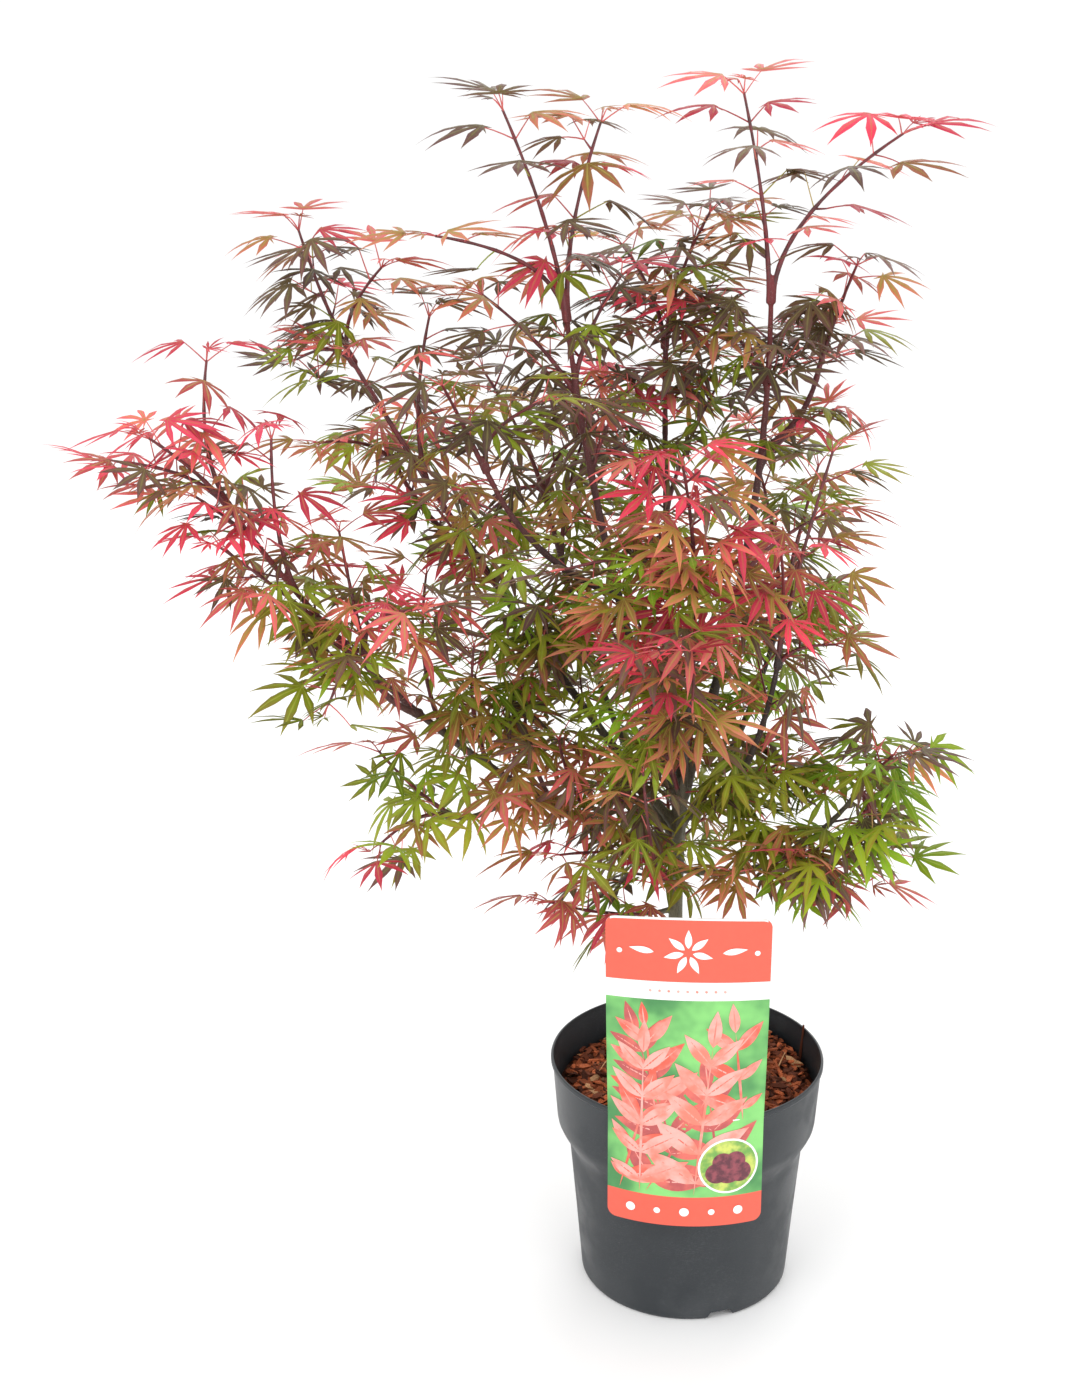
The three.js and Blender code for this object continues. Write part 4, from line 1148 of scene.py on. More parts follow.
def grain_effect():
    """Soft patches and a finer grain, stretched along the axes as asked."""
    if "surface_grain" in bpy.data.node_groups:
        return bpy.data.node_groups["surface_grain"]
    group, shader, given, wanted = shared_effect(
        "surface_grain",
        [("Scale", "Float"), ("Stretch", "Vector")],
        [("Patches", "Float"), ("Grain", "Float")],
    )
    place = shader.stretched(shader.object_place(), given["Stretch"])
    patches = shader.noise(place, given["Scale"], 3.0)
    grain = shader.noise(place, shader.times(given["Scale"], 7.0), 5.0, 0.65)
    shader.feed(wanted["Patches"], shader.span(patches, 0.35, 0.65))
    shader.feed(wanted["Grain"], shader.span(grain, 0.3, 0.7))
    return group


def blade_effect():
    """A leaf blade's colour from its midrib to its edge and tip, with its veins in relief."""
    if "leaf_blade" in bpy.data.node_groups:
        return bpy.data.node_groups["leaf_blade"]
    group, shader, given, wanted = shared_effect(
        "leaf_blade",
        [("Leaf", "Color"), ("Edge", "Color"), ("Vein", "Color")],
        [("Colour", "Color"), ("Relief", "Float"), ("Sheen", "Float")],
    )
    chosen, age, other = shader.tone()
    blade = shader.node("UVMap", uv_map="blade").outputs["UV"]
    across, along, _ = shader.node("SeparateXYZ", {"Vector": blade}).outputs
    mottle = shader.noise(shader.object_place(), 190.0, 3.0)
    reach = shader.maths("MULTIPLY_ADD", along, 0.65, shader.times(across, 0.5))
    reach = shader.maths("ADD", reach, shader.maths("MULTIPLY_ADD", mottle, 0.7, -0.35))
    reach = shader.maths("MULTIPLY_ADD", age, 0.35, reach)
    colour = shader.mix(shader.span(reach, 0.35, 1.0), given["Leaf"], given["Edge"])
    light = shader.maths("MULTIPLY_ADD", chosen, 0.8, 0.56)
    warm = shader.maths("MULTIPLY_ADD", other, 0.24, 0.88)
    light = shader.node("CombineXYZ", {0: shader.times(light, warm), 1: light, 2: light}).outputs[0]
    colour = shader.mix(1.0, colour, light, "MULTIPLY")
    rib = shader.maths("SUBTRACT", 1.0, shader.span(across, 0.06, 0.26))
    rib = shader.times(rib, shader.maths("MULTIPLY_ADD", along, -0.6, 1.0))
    colour = shader.mix(shader.times(rib, 0.85), colour, given["Vein"])
    lines = shader.maths("MULTIPLY_ADD", along, 75.0, shader.times(across, -9.0))
    lines = shader.span(shader.maths("SINE", lines), 0.55, 1.0)
    shader.feed(wanted["Colour"], colour)
    shader.feed(wanted["Relief"], shader.maths("SUBTRACT", shader.times(lines, -0.4), rib))
    shader.feed(wanted["Sheen"], shader.span(mottle, 0.3, 0.7, 0.36, 0.54))
    return group


def new_finish(name):
    material = bpy.data.materials.new(name)
    material.use_nodes = True
    shader = Shader(material.node_tree)
    nodes = material.node_tree.nodes
    return material, shader, nodes["Principled BSDF"], nodes["Material Output"]


def placed_grain(shader, scale, stretch=(1.0, 1.0, 1.0)):
    made = shader.node("Group", node_tree=grain_effect())
    made.inputs["Scale"].default_value = scale
    made.inputs["Stretch"].default_value = stretch
    return made.outputs["Patches"], made.outputs["Grain"]


def blended(first, second, share):
    return tuple(lerp(a, b, share) for a, b in zip(first, second))


# What each leaf tint leans to round its palm and at its edges, and how far.
HEART_TINTS = {
    "crimson": ("coral", 0.1), "coral": ("amber", 0.3), "amber": ("olive", 0.45),
    "bronze": ("olive", 0.22), "olive": ("green", 0.55), "green": ("green", 0.0),
}
EDGE_TINTS = {
    "crimson": ("crimson", 0.0), "coral": ("crimson", 0.4), "amber": ("coral", 0.45),
    "bronze": ("crimson", 0.06), "olive": ("bronze", 0.2), "green": ("olive", 0.4),
}
# How far the veins lean to the vein colour, on most leaves and where it is less.
USUAL_VEIN_SHARE = 0.7
VEIN_SHARES = {"bronze": 0.35, "crimson": 0.4}
# Shares of light that a leaf lets through and of the underside colour on its underside.
LEAF_LIGHT = 0.24
UNDERSIDE_SHARE = 0.18
# Where the trunk divides, in metres: the bark grows redder away from it.
FORK_PLACE = (0.0, 0.0, 0.38)


def leaf_finish(tint, settings):
    """A satin leaf that lets some light through, paler underneath."""
    material, shader, surface, output = new_finish("leaf_" + tint)
    own = getattr(settings, tint)
    made = shader.node("Group", node_tree=blade_effect())
    leanings = {
        "Leaf": HEART_TINTS[tint], "Edge": EDGE_TINTS[tint],
        "Vein": ("vein", VEIN_SHARES.get(tint, USUAL_VEIN_SHARE)),
    }
    for socket, (other, share) in leanings.items():
        made.inputs[socket].default_value = blended(own, getattr(settings, other), share)
    colour = made.outputs["Colour"]
    behind = shader.node("NewGeometry").outputs["Backfacing"]
    under = shader.mix(shader.times(behind, UNDERSIDE_SHARE), colour, tuple(settings.underside))
    veins = shader.bump(made.outputs["Relief"], 0.35, 0.0004)
    shader.dress(surface, under, made.outputs["Sheen"], veins)
    surface.inputs["Specular IOR Level"].default_value = 0.22
    light = shader.node("BsdfTranslucent", {"Color": colour}).outputs[0]
    both = shader.node("MixShader", {0: LEAF_LIGHT, 1: surface.outputs[0], 2: light})
    shader.feed(output.inputs["Surface"], both.outputs[0])
    return material


def bark_finish(settings):
    """Grey-green bark near the pot, darker and redder up the boughs, with fine streaks."""
    material, shader, surface, _ = new_finish("bark_skin")
    patches, _ = placed_grain(shader, 45.0, (1.0, 1.0, 0.35))
    streaks, grain = placed_grain(shader, 420.0, (1.0, 1.0, 0.08))
    _, specks = placed_grain(shader, 150.0, (1.0, 1.0, 1.6))
    height = shader.maths("MULTIPLY_ADD", patches, 0.05, shader.object_height())
    aged = shader.mix(shader.span(height, 0.34, 0.5), tuple(settings.old_bark), tuple(settings.bark))
    away = shader.node("VectorMath", {0: shader.object_place(), 1: FORK_PLACE}, operation="DISTANCE")
    redder = shader.span(away.outputs["Value"], 0.12, 0.36, 0.0, 0.55)
    aged = shader.mix(redder, aged, tuple(settings.young))
    dark = shader.mix(1.0, aged, (0.45, 0.42, 0.45, 1), "MULTIPLY")
    colour = shader.mix(shader.times(streaks, 0.75), aged, dark)
    pale = shader.mix(1.0, aged, (2.1, 2.0, 1.7, 1), "MULTIPLY")
    colour = shader.mix(shader.times(patches, 0.28), colour, pale)
    cracks = shader.times(shader.span(grain, 0.4, 0.75), shader.span(height, 0.34, 0.5, 0.75, 0.0))
    colour = shader.mix(cracks, colour, pale)
    colour = shader.mix(shader.span(specks, 0.8, 0.95, 0.0, 0.45), colour, (0.26, 0.22, 0.18, 1))
    ridges = shader.bump(shader.maths("ADD", streaks, grain), 0.35, 0.0005)
    shader.dress(surface, colour, shader.span(grain, 0.0, 1.0, 0.55, 0.8), ridges)
    return material


def young_finish(name, wood, young, leafy):
    """Thin twigs and leaf stalks, from brown-red to bright red, and some green."""
    material, shader, surface, _ = new_finish(name)
    chosen, age, other = shader.tone()
    patches, grain = placed_grain(shader, 160.0)
    share = shader.maths("MULTIPLY_ADD", patches, 0.35, shader.times(chosen, 0.75))
    colour = shader.mix(share, tuple(wood), tuple(young))
    fresh = shader.span(shader.maths("SUBTRACT", other, age), 0.25, 0.6, 0.0, 0.8)
    colour = shader.mix(fresh, colour, tuple(leafy))
    relief = shader.bump(grain, 0.15, 0.0002)
    shader.dress(surface, colour, shader.span(grain, 0.0, 1.0, 0.38, 0.58), relief)
    return material


def pot_finish(settings):
    """Satin moulded plastic with faint scuffs, mould rings and some dust by the foot."""
    material, shader, surface, _ = new_finish("pot_skin")
    patches, _ = placed_grain(shader, 28.0)
    _, scratches = placed_grain(shader, 60.0, (1.0, 1.0, 6.0))
    _, speckle = placed_grain(shader, 700.0)
    dust = shader.times(shader.span(shader.object_height(), 0.0, 0.04, 0.2, 0.04), patches)
    marks = shader.times(shader.span(scratches, 0.72, 0.95), patches)
    worn = shader.maths("ADD", dust, shader.times(marks, 0.35))
    worn = shader.maths("ADD", worn, shader.span(speckle, 0.86, 0.97, 0.0, 0.8), clamp=True)
    colour = shader.mix(worn, tuple(settings.colour), tuple(settings.scuff))
    roughness = shader.span(shader.maths("ADD", worn, patches), 0.0, 1.6, 0.36, 0.6)
    shader.dress(surface, colour, roughness, shader.bump(speckle, 0.08, 0.0002))
    surface.inputs["Specular IOR Level"].default_value = 0.42
    return material


def mulch_finish(name, colour):
    """Bark chips of one kind, each a little lighter or darker, with a fibrous grain."""
    material, shader, surface, _ = new_finish(name)
    chosen, _, _ = shader.tone()
    patches, grain = placed_grain(shader, 220.0, (1.0, 1.0, 2.5))
    light = shader.maths("MULTIPLY_ADD", chosen, 1.1, 0.45)
    light = shader.times(light, shader.maths("MULTIPLY_ADD", grain, 0.7, 0.6))
    grey = shader.node("CombineXYZ", {0: light, 1: light, 2: light}).outputs[0]
    shaded = shader.mix(1.0, tuple(colour), grey, "MULTIPLY")
    fibres = shader.bump(grain, 0.5, 0.0005)
    shader.dress(surface, shaded, shader.span(patches, 0.0, 1.0, 0.7, 0.92), fibres)
    surface.inputs["Specular IOR Level"].default_value = 0.15
    return material


def print_finish(name, colour, other=None, scale=30.0):
    """Varnished print, plain or in soft patches of two colours."""
    material, shader, surface, _ = new_finish(name)
    patches, grain = placed_grain(shader, scale)
    other = colour if other is None else other
    printed = shader.mix(patches, tuple(colour), tuple(other))
    worn = shader.mix(1.0, printed, (0.9, 0.9, 0.9, 1), "MULTIPLY")
    printed = shader.mix(shader.times(grain, 0.5), printed, worn)
    shader.dress(surface, printed, shader.span(grain, 0.0, 1.0, 0.3, 0.42))
    surface.inputs["Coat Weight"].default_value = 0.25
    return material


def floor_finish(settings):
    material, shader, surface, _ = new_finish("floor_paint")
    patches, grain = placed_grain(shader, 3.0)
    tone = shader.mix(1.0, tuple(settings.floor), (0.985, 0.985, 0.985, 1), "MULTIPLY")
    colour = shader.mix(patches, tuple(settings.floor), tone)
    shader.dress(surface, colour, shader.span(grain, 0.0, 1.0, 0.7, 0.8))
    return material


# The pieces.


def notch_block(turn, grown):
    """A drain notch's block, grown by some clearance, run in from the edge of the foot."""
    low, high = -1 * MM, (NOTCH_HEIGHT + grown) * MM
    length = (NOTCH_DEPTH + grown + 2) * MM
    outside = -(FOOT_RADIUS + 2) * MM
    half = (NOTCH_WIDTH / 2 + grown) * MM
    clear_selection()
    bpy.ops.mesh.primitive_cube_add(size=1, location=(0, outside + length / 2, (low + high) / 2))
    block = bpy.context.object
    block.scale = (2 * half, length, high - low)
    settle_place(block)
    edit(block)
    select_faces(block, lambda middle, normal: normal.z > 0.9)
    share = (NOTCH_TOP_WIDTH / 2 + grown) * MM / half
    bpy.ops.transform.resize(value=(share, 1, 1), center_override=(0, 0, high))
    bpy.ops.object.mode_set(mode="OBJECT")
    block.rotation_euler = (0, 0, math.radians(turn))
    settle_place(block)
    return block


def make_pot(settings):
    """The nursery pot with its collar, thin lip, foot ring and three drain notches."""
    recess = settings.floor_recess / MM
    foot = [(63.4, recess), (64.6, recess), (65.4, 0)]
    pot = raise_profile(foot + POT_OUTSIDE + POT_INSIDE, settings.sides)
    for turn in NOTCH_TURNS:
        boss = notch_block(turn, NOTCH_WALL)
        cut_or_join(boss, raise_profile(POT_OUTSIDE, settings.sides), "INTERSECT")
        cut_or_join(pot, boss, "UNION")
    for turn in NOTCH_TURNS:
        cut_or_join(pot, notch_block(turn, 0), "DIFFERENCE")
    pot.data.materials.append(pot_finish(settings))
    finish_piece(pot, "pot_shell", ["pot"], 28)


def heap_height(x, y):
    away = math.hypot(x - HEAP_PLACE[0], y - HEAP_PLACE[1])
    return HEAP_HEIGHT * math.exp(-((away / HEAP_SPREAD) ** 2))


def bed_height(x, y):
    radii, heights = zip(*BED_TOP[::-1])
    return float(np.interp(math.hypot(x, y), radii, heights)) + heap_height(x, y)


def chip_shape(length, width, depth, rng):
    """A split sliver of bark: four corners at each of two rings and a ragged point at each end."""
    points = [(-length / 2, rng.uniform(-0.2, 0.2) * width, 0)]
    for along in (-0.3, 0.28):
        for across, lift in ((-1, -1), (1, -1), (1, 1), (-1, 1)):
            points.append((
                length * (along + rng.uniform(-0.08, 0.08)),
                width / 2 * across * rng.uniform(0.7, 1.1),
                depth / 2 * lift * rng.uniform(0.6, 1.1),
            ))
    points.append((length / 2, rng.uniform(-0.2, 0.2) * width, 0))
    faces = []
    for side in range(4):
        after = (side + 1) % 4
        faces.append([1 + after, 1 + side, 0])
        faces.append([1 + side, 1 + after, 5 + after, 5 + side])
        faces.append([5 + side, 5 + after, 9])
    return np.array(points), faces


def make_bed(settings):
    """The compost under the chips."""
    bed = raise_profile(BED_WALL + BED_TOP, BED_SIDES)
    for corner in bed.data.vertices:
        if corner.co.z > BED_TOP_START * MM:
            corner.co.z += heap_height(corner.co.x / MM, corner.co.y / MM) * MM
    bed.data.materials.append(mulch_finish("compost_bed", settings.dark))
    finish_piece(bed, "compost_bed", ["soil"])


def strew_chips(chips, settings):
    """Bark chips all over the compost, but for those that touch the pot or the trunk."""
    rng = np.random.default_rng(CHIP_SEED)
    for _ in range(settings.chips):
        radius = CHIP_SPREAD * math.sqrt(rng.uniform(0, 1))
        turn = rng.uniform(0, 2 * math.pi)
        length = settings.length / MM * rng.choice(CHIP_LENGTHS) * rng.uniform(0.8, 1.2)
        width = length * rng.uniform(0.22, 0.5)
        points, faces = chip_shape(length, width, min(width * 0.5, CHIP_THICKEST), rng)
        lean = Matrix.Rotation(rng.uniform(0, 2 * math.pi), 3, "Z")
        lean = lean @ Matrix.Rotation(rng.normal(0, 0.3), 3, "Y")
        points = points @ np.array(lean @ Matrix.Rotation(rng.uniform(-0.6, 0.6), 3, "X")).T
        x, y = radius * math.cos(turn), radius * math.sin(turn)
        points = points + np.array((x, y, bed_height(x, y) + rng.uniform(*CHIP_LIFT)))
        if np.hypot(points[:, 0], points[:, 1]).max() > CHIP_LIMIT:
            continue
        if np.hypot(points[:, 0] - TRUNK[1][0], points[:, 1] - TRUNK[1][1]).min() < CHIP_TRUNK_GAP:
            continue
        kind = int(rng.choice(3, p=CHIP_SHARES))
        chips.add(points, faces, tone=(rng.uniform(), 0, 0), kind=kind)


def make_mulch(settings):
    """The compost, its cover of bark chips, a few pale straws and a twig that stands in it."""
    make_bed(settings)
    chips = MeshParts()
    strew_chips(chips, settings)
    for turn, away, length in STRAWS:
        x, y = away * math.cos(turn), away * math.sin(turn)
        foot = np.array((x, y, bed_height(x, y) + CHIP_LIFT[1]))
        along = np.array((math.cos(turn * 3.7), math.sin(turn * 3.7), 0.06)) * length / 2
        straw = Path(foot - along, foot + UP * 0.8, foot + along)
        shape = tube(straw.points(6), np.linspace(*STRAW_RADII, 7), 6, UP)
        chips.add(*shape, tone=(0.7, 0, 0), kind=2)
    stick = Path(STICK_FOOT, (STICK_FOOT + STICK_TOP) / 2 + np.array((0.6, 0, 0)), STICK_TOP)
    shape = tube(stick.points(6), np.linspace(*STICK_RADII, 7), 6, BACKWARDS)
    chips.add(*shape, tone=(0.3, 0, 0), kind=0)
    colours = {"chips_dark": settings.dark, "chips_red": settings.red, "chips_pale": settings.pale}
    cover = chips.build("mulch_chips", [mulch_finish(name, colour) for name, colour in colours.items()])
    finish_piece(cover, "mulch_chips", ["soil"], 20)


def card_bend(height):
    """The radius to which the card is bent at a height."""
    share = min(1, max(0, (height - CARD_BEND_HEIGHT) / (CARD_BANDS[-1] - CARD_BEND_HEIGHT)))
    return 1 / lerp(1 / CARD_BEND_RADIUS, 1 / CARD_TOP_BEND_RADIUS, share)


def card_point(across, height, depth):
    """A point of the card at a distance across, a height and a depth out from its back."""
    bend = card_bend(height)
    angle = across / bend
    radius = bend + depth
    return radius * math.sin(angle), bend - CARD_BACK - radius * math.cos(angle), height


def make_card(settings):
    """The plant card, printed in bands, with its two hooks over the rim."""
    low, high = CARD_BANDS[0], CARD_BANDS[-1]
    heights = sorted({*CARD_BANDS, *range(low, high, 3)})
    columns = 48
    clear_selection()
    bpy.ops.mesh.primitive_grid_add(x_subdivisions=columns, y_subdivisions=len(heights) - 1, size=2)
    card = bpy.context.object
    half = settings.width / MM / 2
    for corner in card.data.vertices:
        across = math.sin(corner.co.x * math.pi / 2) * half
        height = heights[round((corner.co.y + 1) / 2 * (len(heights) - 1))]
        into = max(0, abs(across) - (half - CARD_CORNER))
        taken = CARD_CORNER - math.sqrt(max(0, CARD_CORNER ** 2 - into ** 2))
        if height < low + CARD_CORNER:
            height = lerp(low + taken, low + CARD_CORNER, (height - low) / CARD_CORNER)
        if height > high - CARD_CORNER:
            height = lerp(high - taken, high - CARD_CORNER, (high - height) / CARD_CORNER)
        corner.co = Vector(card_point(across, height, 0)) * MM
    apply_modifier(card, "SOLIDIFY", thickness=settings.thickness, offset=1)
    edit(card)
    face_outwards()
    finishes = [
        print_finish("card_coral", settings.coral),
        print_finish("card_field", settings.field, settings.shade, 22.0),
        print_finish("card_white", settings.white),
    ]
    for finish in finishes:
        card.data.materials.append(finish)
    for face in card.data.polygons:
        band = np.searchsorted(CARD_BANDS, face.center.z / MM) - 1
        printed = face.normal.y < -0.4
        face.material_index = BAND_FINISHES[min(max(band, 0), 4)] if printed else 2
    for turn in HOOK_TURNS:
        make_hook(turn, finishes[2])
    print_card(settings)
    finish_piece(card, "card_sheet", ["plant_card"], 25)


class Print:
    """Flat printed shapes on the card in pieces that follow its bend, each layer over the last."""

    LAYER = 0.04

    def __init__(self, thickness):
        self.parts = MeshParts()
        self.depth = thickness / MM

    def sheet(self, rows, kind):
        """A sheet through rows of flat points, each row from the shape's left to its right."""
        width = len(rows[0])
        points = [card_point(*place, self.depth) for row in rows for place in row]
        faces = [
            [place, place + 1, place + width + 1, place + width]
            for row in range(len(rows) - 1) for place in range(row * width, row * width + width - 1)
        ]
        self.parts.add(points, faces, kind=kind)

    def blade(self, foot, turn, length, width, kind):
        """A leaf shape from its foot, drawn out to a point."""
        ahead = np.array((math.sin(turn), math.cos(turn)))
        aside = np.array((ahead[1], -ahead[0])) * width / 2
        rows = []
        for share in np.linspace(0, 1, 10):
            middle = np.asarray(foot) + ahead * length * share
            half = aside * (0.02 + math.sin(math.pi * share ** 0.8))
            rows.append([middle - half, middle, middle + half])
        self.sheet(rows, kind)

    def disc(self, centre, radius, kind):
        turns = np.linspace(0, 2 * math.pi, 41)
        ring = np.column_stack((np.cos(turns), np.sin(turns))) * radius
        shares = np.linspace(1, 0.02, 2 + int(radius / 4))
        self.sheet([np.asarray(centre) + ring * share for share in shares], kind)

    @staticmethod
    def in_field(start, lean, size):
        """Whether a leaf's tip lies on the printed field."""
        across = abs(start[0] + size * math.sin(lean))
        return across <= FIELD_HALF_WIDTH and FIELD_LOW < start[1] + size * math.cos(lean) < FIELD_HIGH

    def sprig(self, foot, turn, length, pairs, leaf, kind):
        """A stem with pairs of leaves, smaller towards its tip, all within the printed field."""
        self.depth += self.LAYER
        vein = PALE if kind == PINK else PINK
        ahead = np.array((math.sin(turn), math.cos(turn)))
        self.blade(foot, turn, length, 1.8, kind)
        for pair in range(pairs + 1):
            share = min(1, (pair + 0.4) / pairs)
            start = np.asarray(foot) + ahead * length * share
            for side in (-1, 1) if pair < pairs else (0,):
                lean = turn + side * (1.1 - 0.4 * share)
                size = leaf * (1.1 - 0.4 * share)
                while not self.in_field(start, lean, size):
                    size *= 0.9
                self.blade(start, lean, size, size * 0.34, kind)
                self.blade(start + ahead * 0.3, lean, size * 0.8, 0.9, vein)


def print_card(settings):
    """The card's printed design: leafy sprigs, a round picture of a bush and small ornaments."""
    design = Print(settings.thickness)
    for sprig in SPRIGS:
        design.sprig(*sprig)
    for plate in BUSH_PLATES:
        design.depth += design.LAYER
        design.disc(*plate)
    design.depth += design.LAYER
    for centre, radius in BUSH_CLUMPS:
        design.disc(centre, radius, DARK)
    for k in range(5):
        design.disc((-36 + 18 * k, FOOT_BAND_HEIGHT), 2.2 if k % 2 else 3.2, WHITE)
    for k in range(7):
        turn = 2 * math.pi * k / 7
        foot = (math.sin(turn) * 3, ROSETTE_HEIGHT + math.cos(turn) * 3)
        design.blade(foot, turn, 13, 4.6, WHITE)
    for side in (-1, 1):
        design.blade((side * 22, ROSETTE_HEIGHT), side * 1.4, 16, 4.4, WHITE)
        design.disc((side * 44, ROSETTE_HEIGHT), 1.8, WHITE)
    for k in range(9):
        design.disc((-24 + 6 * k, STRIPE_HEIGHT), 0.9, PINK)
    finishes = [
        print_finish("print_pink", settings.motif, blended(settings.motif, settings.white, 0.3), 60.0),
        print_finish("print_pale", blended(settings.motif, settings.white, 0.18), settings.coral, 60.0),
        print_finish("print_white", settings.white),
        print_finish("print_dark", (0.10, 0.015, 0.03, 1), (0.26, 0.05, 0.07, 1), 260.0),
        print_finish("print_light", (0.55, 0.62, 0.12, 1), (0.14, 0.34, 0.06, 1), 120.0),
        print_finish("print_deep", (0.66, 0.13, 0.10, 1), (0.42, 0.07, 0.07, 1), 60.0),
    ]
    sheet = design.parts.build("card_printing", finishes)
    finish_piece(sheet, "card_printing", ["plant_card"])


def make_hook(turn, finish):
    """One of the card's hooks: a tongue over the rim, turned down inside the pot."""
    length = HOOK_OUTSIDE - HOOK_LEG_OUTSIDE + HOOK_THICKNESS
    clear_selection()
    middle = (0, (length / 2 - HOOK_OUTSIDE) * MM, (HOOK_SEAT + HOOK_THICKNESS / 2) * MM)
    bpy.ops.mesh.primitive_cube_add(size=1, location=middle)
    hook = bpy.context.object
    hook.scale = (HOOK_WIDTH * MM, length * MM, HOOK_THICKNESS * MM)
    settle_place(hook)
    edit(hook)
    bpy.ops.mesh.select_all(action="SELECT")
    bpy.ops.mesh.bisect(plane_co=(0, -HOOK_LEG_OUTSIDE * MM, 0), plane_no=(0, 1, 0))
    select_faces(hook, lambda middle, normal: normal.z < -0.9 and middle.y > -HOOK_LEG_OUTSIDE * MM)
    bpy.ops.mesh.extrude_region_move(TRANSFORM_OT_translate={"value": (0, 0, -HOOK_DROP * MM)})
    bpy.ops.object.mode_set(mode="OBJECT")
    apply_modifier(hook, "BEVEL", width=HOOK_BEVEL * MM, segments=2, limit_method="ANGLE")
    hook.rotation_euler = (0, 0, math.radians(turn))
    hook.data.materials.append(finish)
    side = "right" if turn > 0 else "left"
    finish_piece(hook, "card_hook_" + side, ["plant_card"])


def limb_curve(path, radii):
    """A round tapering limb on a path, as a filled mesh."""
    clear_selection()
    bpy.ops.curve.primitive_bezier_curve_add()
    limb = bpy.context.object
    handles = ((path.start, path.control), (path.tip, path.control))
    for point, (end, control) in zip(limb.data.splines[0].bezier_points, handles):
        away = (control - end) * 2 / 3
        point.handle_left_type = point.handle_right_type = "FREE"
        point.co = Vector(end * MM)
        point.handle_left = Vector((end + (away if end is path.tip else -away)) * MM)
        point.handle_right = Vector((end - (away if end is path.tip else -away)) * MM)
    bpy.ops.object.mode_set(mode="EDIT")
    bpy.ops.curve.select_all(action="SELECT")
    bpy.ops.curve.subdivide(number_cuts=len(radii) - 2)
    bpy.ops.object.mode_set(mode="OBJECT")
    for point, radius in zip(limb.data.splines[0].bezier_points, radii):
        point.radius = radius
    limb.data.bevel_depth = MM
    limb.data.bevel_resolution = 3
    limb.data.resolution_u = 2
    limb.data.use_fill_caps = True
    bpy.ops.object.convert(target="MESH")
    return limb


def limb_radii(limb, parent_radius):
    """A limb's radii from its flared foot, with a slight swelling at each ring of buds."""
    shares = np.linspace(0, 1, LIMB_RINGS)
    along = shares * limb.path.length()
    radii = np.array([limb.radius(share) for share in shares])
    if limb.name == "trunk":
        return radii + TRUNK_FLARE * np.exp(-along / TRUNK_FLARE_HEIGHT)
    away = np.maximum(along - parent_radius, 0)
    collar = 1 + COLLAR_SWELLING * np.exp(-away / (COLLAR_LENGTH * limb.base))
    radii = radii * np.linspace(1, SLIM_END, LIMB_RINGS) * collar
    nodes = np.arange(BUD_SPACING, limb.path.length(), BUD_SPACING)
    swelling = np.exp(-(((along[:, None] - nodes) / BUD_LENGTH) ** 2)).sum(1)
    return radii * (1 + BUD_SWELLING * swelling)


def make_limbs_piece(limbs, masses, branches, settings):
    """The trunk, boughs and pruned stubs under one skin of bark."""
    parts = []
    for limb in limbs.values():
        parent = next((row[1] for row in BOUGHS if "bough_" + row[0] == limb.name), None)
        parts.append(limb_curve(limb.path, limb_radii(limb, limbs[parent].end if parent else 0)))
    for name in STUBS:
        limb = limbs[name]
        end, along = limb.path.point(0.97), limb.path.tangent(1)
        stub = Path(end, end + along * STUB_LENGTH / 2, end + along * STUB_LENGTH)
        parts.append(limb_curve(stub, np.linspace(limb.end, limb.end * 1.05, 6) * SLIM_END))
    for mass in masses + branches:
        start, middle, end = (mass.path.point(share) for share in (0, 0.1, 0.2))
        foot = Path(start, 2 * middle - (start + end) / 2, end)
        parts.append(limb_curve(foot, np.linspace(*STEM_FOOT_RADII, 8)))
    clear_selection()
    for part in parts:
        part.select_set(True)
    bpy.context.view_layer.objects.active = parts[0]
    bpy.ops.object.join()
    skin = bpy.context.object
    apply_modifier(skin, "REMESH", mode="VOXEL", voxel_size=settings.voxel)
    apply_modifier(skin, "SMOOTH", factor=0.5, iterations=3)
    ridges = bpy.data.textures.new("bark_ridges", "CLOUDS")
    ridges.noise_scale = RIDGE_SIZE
    ridges.noise_depth = 2
    clear_selection()
    bpy.ops.object.empty_add(location=(0, 0, 0))
    guide = bpy.context.object
    guide.scale = (1, 1, RIDGE_STRETCH)
    apply_modifier(
        skin, "DISPLACE", texture=ridges, texture_coords="OBJECT", texture_coords_object=guide,
        strength=settings.relief, mid_level=0.5,
    )
    bpy.data.objects.remove(guide)
    skin.data.materials.clear()
    skin.data.materials.append(bark_finish(settings))
    finish_piece(skin, "limbs_bark", LIMB_NODES, 60)


def make_foliage(limbs, masses, branches, settings, wood):
    """The crown: twigs, leaf stalks and one piece of leaves for each tint."""
    crown = Crown(limbs, masses, branches, settings)
    crown.grow()
    twig_wood = young_finish("twig_wood", wood.bark, wood.young, wood.young)
    twigs = crown.twigs.build("twigs", [twig_wood])
    finish_piece(twigs, "twigs", FOLIAGE_NODES, 60)
    stalk_skin = young_finish("stalk_skin", wood.young, settings.coral, settings.green)
    stalks = crown.stalks.build("leaf_stalks", [stalk_skin])
    finish_piece(stalks, "leaf_stalks", FOLIAGE_NODES, 60)
    for tint, parts in crown.leaves.items():
        leaves = parts.build("leaves_" + tint, [leaf_finish(tint, settings)])
        nodes = [name for name in FOLIAGE_NODES if name in crown.nodes[tint]]
        finish_piece(leaves, "leaves_" + tint, nodes, 40)


# Floor, light and camera.


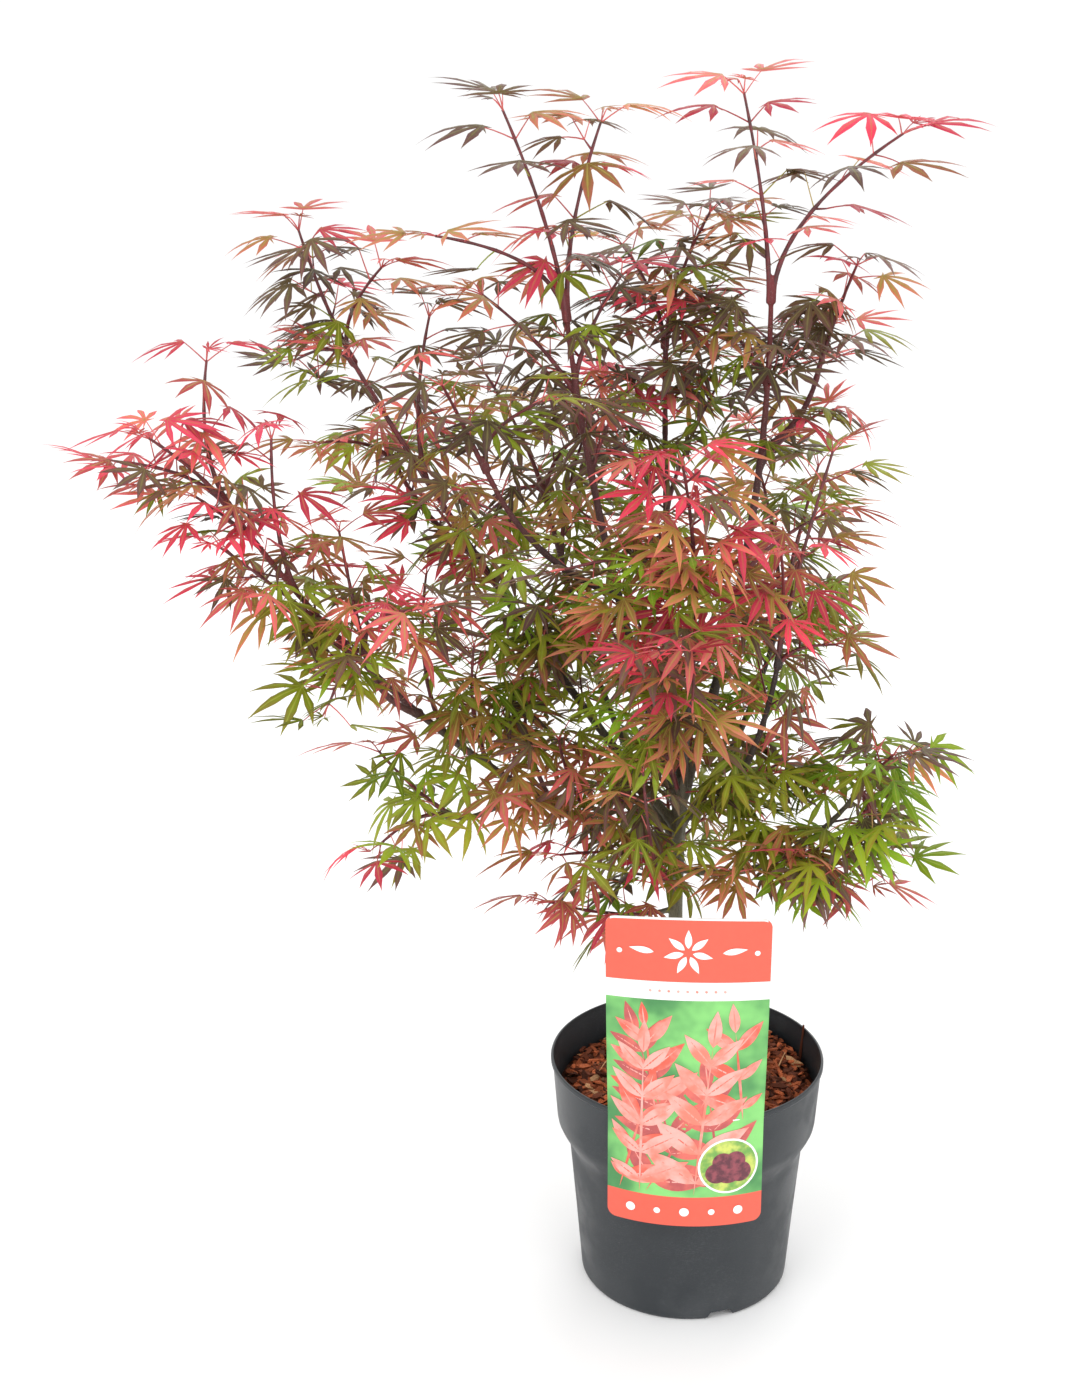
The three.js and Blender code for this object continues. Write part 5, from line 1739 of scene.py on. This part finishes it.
def make_floor(settings):
    clear_selection()
    bpy.ops.mesh.primitive_plane_add(size=240, location=(0, 0, -0.0002))
    floor = bpy.context.object
    settle_place(floor)
    floor.name = "floor"
    floor.data.materials.append(floor_finish(settings))


def make_light(scene, settings):
    """Even light from all round and three large soft lights."""
    world = bpy.data.worlds.new("studio")
    world.use_nodes = True
    world.node_tree.nodes["Background"].inputs["Color"].default_value = (1, 1, 1, 1)
    world.node_tree.nodes["Background"].inputs["Strength"].default_value = settings.sky
    scene.world = world
    for name, place, size, share in STUDIO_LIGHTS:
        clear_selection()
        bpy.ops.object.light_add(type="AREA", location=place)
        light = bpy.context.object
        light.name = name
        light.data.size = size
        light.data.energy = settings.key * share
        aim = Vector(LIGHT_AIM) - Vector(place)
        light.rotation_euler = aim.to_track_quat("-Z", "Y").to_euler()


def make_camera(scene, settings):
    """The camera at the photo's angle."""
    clear_selection()
    bpy.ops.object.camera_add(location=(0, -settings.camera_distance, settings.camera_height))
    camera = bpy.context.object
    camera.name = "photo_view"
    camera.data.sensor_fit = "VERTICAL"
    camera.data.sensor_height = 24
    camera.data.lens = settings.lens
    camera.data.dof.use_dof = False
    yaw, pitch, roll = (math.radians(turn) for turn in CAMERA_TURN)
    level_reach = math.cos(pitch)
    ahead = Vector((math.sin(yaw) * level_reach, math.cos(yaw) * level_reach, -math.sin(pitch)))
    right = Vector((math.cos(yaw), -math.sin(yaw), 0))
    lifted = right.cross(ahead)
    level = right * math.cos(roll) + lifted * math.sin(roll)
    upward = lifted * math.cos(roll) - right * math.sin(roll)
    camera.rotation_euler = Matrix((level, upward, -ahead)).transposed().to_euler()
    scene.camera = camera
    scene.view_settings.view_transform = "Standard"


# Operators, panel and the order in which everything is made.


def plant():
    limbs = make_limbs()
    return limbs, make_masses(limbs), make_side_branches(limbs)


class MAPLE_OT_stage(bpy.types.Operator):
    """Add the floor, the light and the camera"""

    bl_idname = "maple.stage"
    bl_label = "Stage"

    def execute(self, context):
        settings = context.scene.maple_stage
        make_floor(settings)
        make_light(context.scene, settings)
        make_camera(context.scene, settings)
        return {"FINISHED"}


class MAPLE_OT_pot(bpy.types.Operator):
    """Make the nursery pot"""

    bl_idname = "maple.pot"
    bl_label = "Pot"

    def execute(self, context):
        make_pot(context.scene.maple_pot)
        return {"FINISHED"}


class MAPLE_OT_mulch(bpy.types.Operator):
    """Fill the pot and cover it with bark chips"""

    bl_idname = "maple.mulch"
    bl_label = "Compost and mulch"

    def execute(self, context):
        make_mulch(context.scene.maple_mulch)
        return {"FINISHED"}


class MAPLE_OT_card(bpy.types.Operator):
    """Hang the plant card on the rim"""

    bl_idname = "maple.card"
    bl_label = "Plant card"

    def execute(self, context):
        make_card(context.scene.maple_card)
        return {"FINISHED"}


class MAPLE_OT_limbs(bpy.types.Operator):
    """Grow the trunk and boughs"""

    bl_idname = "maple.limbs"
    bl_label = "Trunk and boughs"

    def execute(self, context):
        make_limbs_piece(*plant(), context.scene.maple_limbs)
        return {"FINISHED"}


class MAPLE_OT_foliage(bpy.types.Operator):
    """Grow the twigs and leaves"""

    bl_idname = "maple.foliage"
    bl_label = "Foliage"

    def execute(self, context):
        make_foliage(*plant(), context.scene.maple_leaves, context.scene.maple_limbs)
        return {"FINISHED"}


SETTINGS = {
    "maple_pot": PotSettings, "maple_mulch": MulchSettings, "maple_card": CardSettings,
    "maple_limbs": LimbSettings, "maple_leaves": LeafSettings, "maple_stage": StageSettings,
}
OPERATORS = (
    MAPLE_OT_stage, MAPLE_OT_pot, MAPLE_OT_mulch, MAPLE_OT_card, MAPLE_OT_limbs, MAPLE_OT_foliage,
)


class MAPLE_PT_panel(bpy.types.Panel):
    """The potted maple's pieces and their sizes and colours"""

    bl_idname = "MAPLE_PT_panel"
    bl_label = "Potted Maple"
    bl_space_type = "VIEW_3D"
    bl_region_type = "UI"
    bl_category = "Maple"

    def draw(self, context):
        for operator in OPERATORS:
            self.layout.operator(operator.bl_idname)
        for name in SETTINGS:
            box = self.layout.box()
            settings = getattr(context.scene, name)
            for field in settings.bl_rna.properties.keys():
                if field not in ("rna_type", "name"):
                    box.prop(settings, field)


def register():
    for kind in (*SETTINGS.values(), *OPERATORS, MAPLE_PT_panel):
        bpy.utils.register_class(kind)
    for name, kind in SETTINGS.items():
        setattr(bpy.types.Scene, name, PointerProperty(type=kind))


def unregister():
    for name in SETTINGS:
        delattr(bpy.types.Scene, name)
    for kind in reversed((*SETTINGS.values(), *OPERATORS, MAPLE_PT_panel)):
        bpy.utils.unregister_class(kind)


def main():
    register()
    bpy.ops.maple.stage()
    bpy.ops.maple.pot()
    bpy.ops.maple.mulch()
    bpy.ops.maple.card()
    bpy.ops.maple.limbs()
    bpy.ops.maple.foliage()


if __name__ == "__main__":
    main()
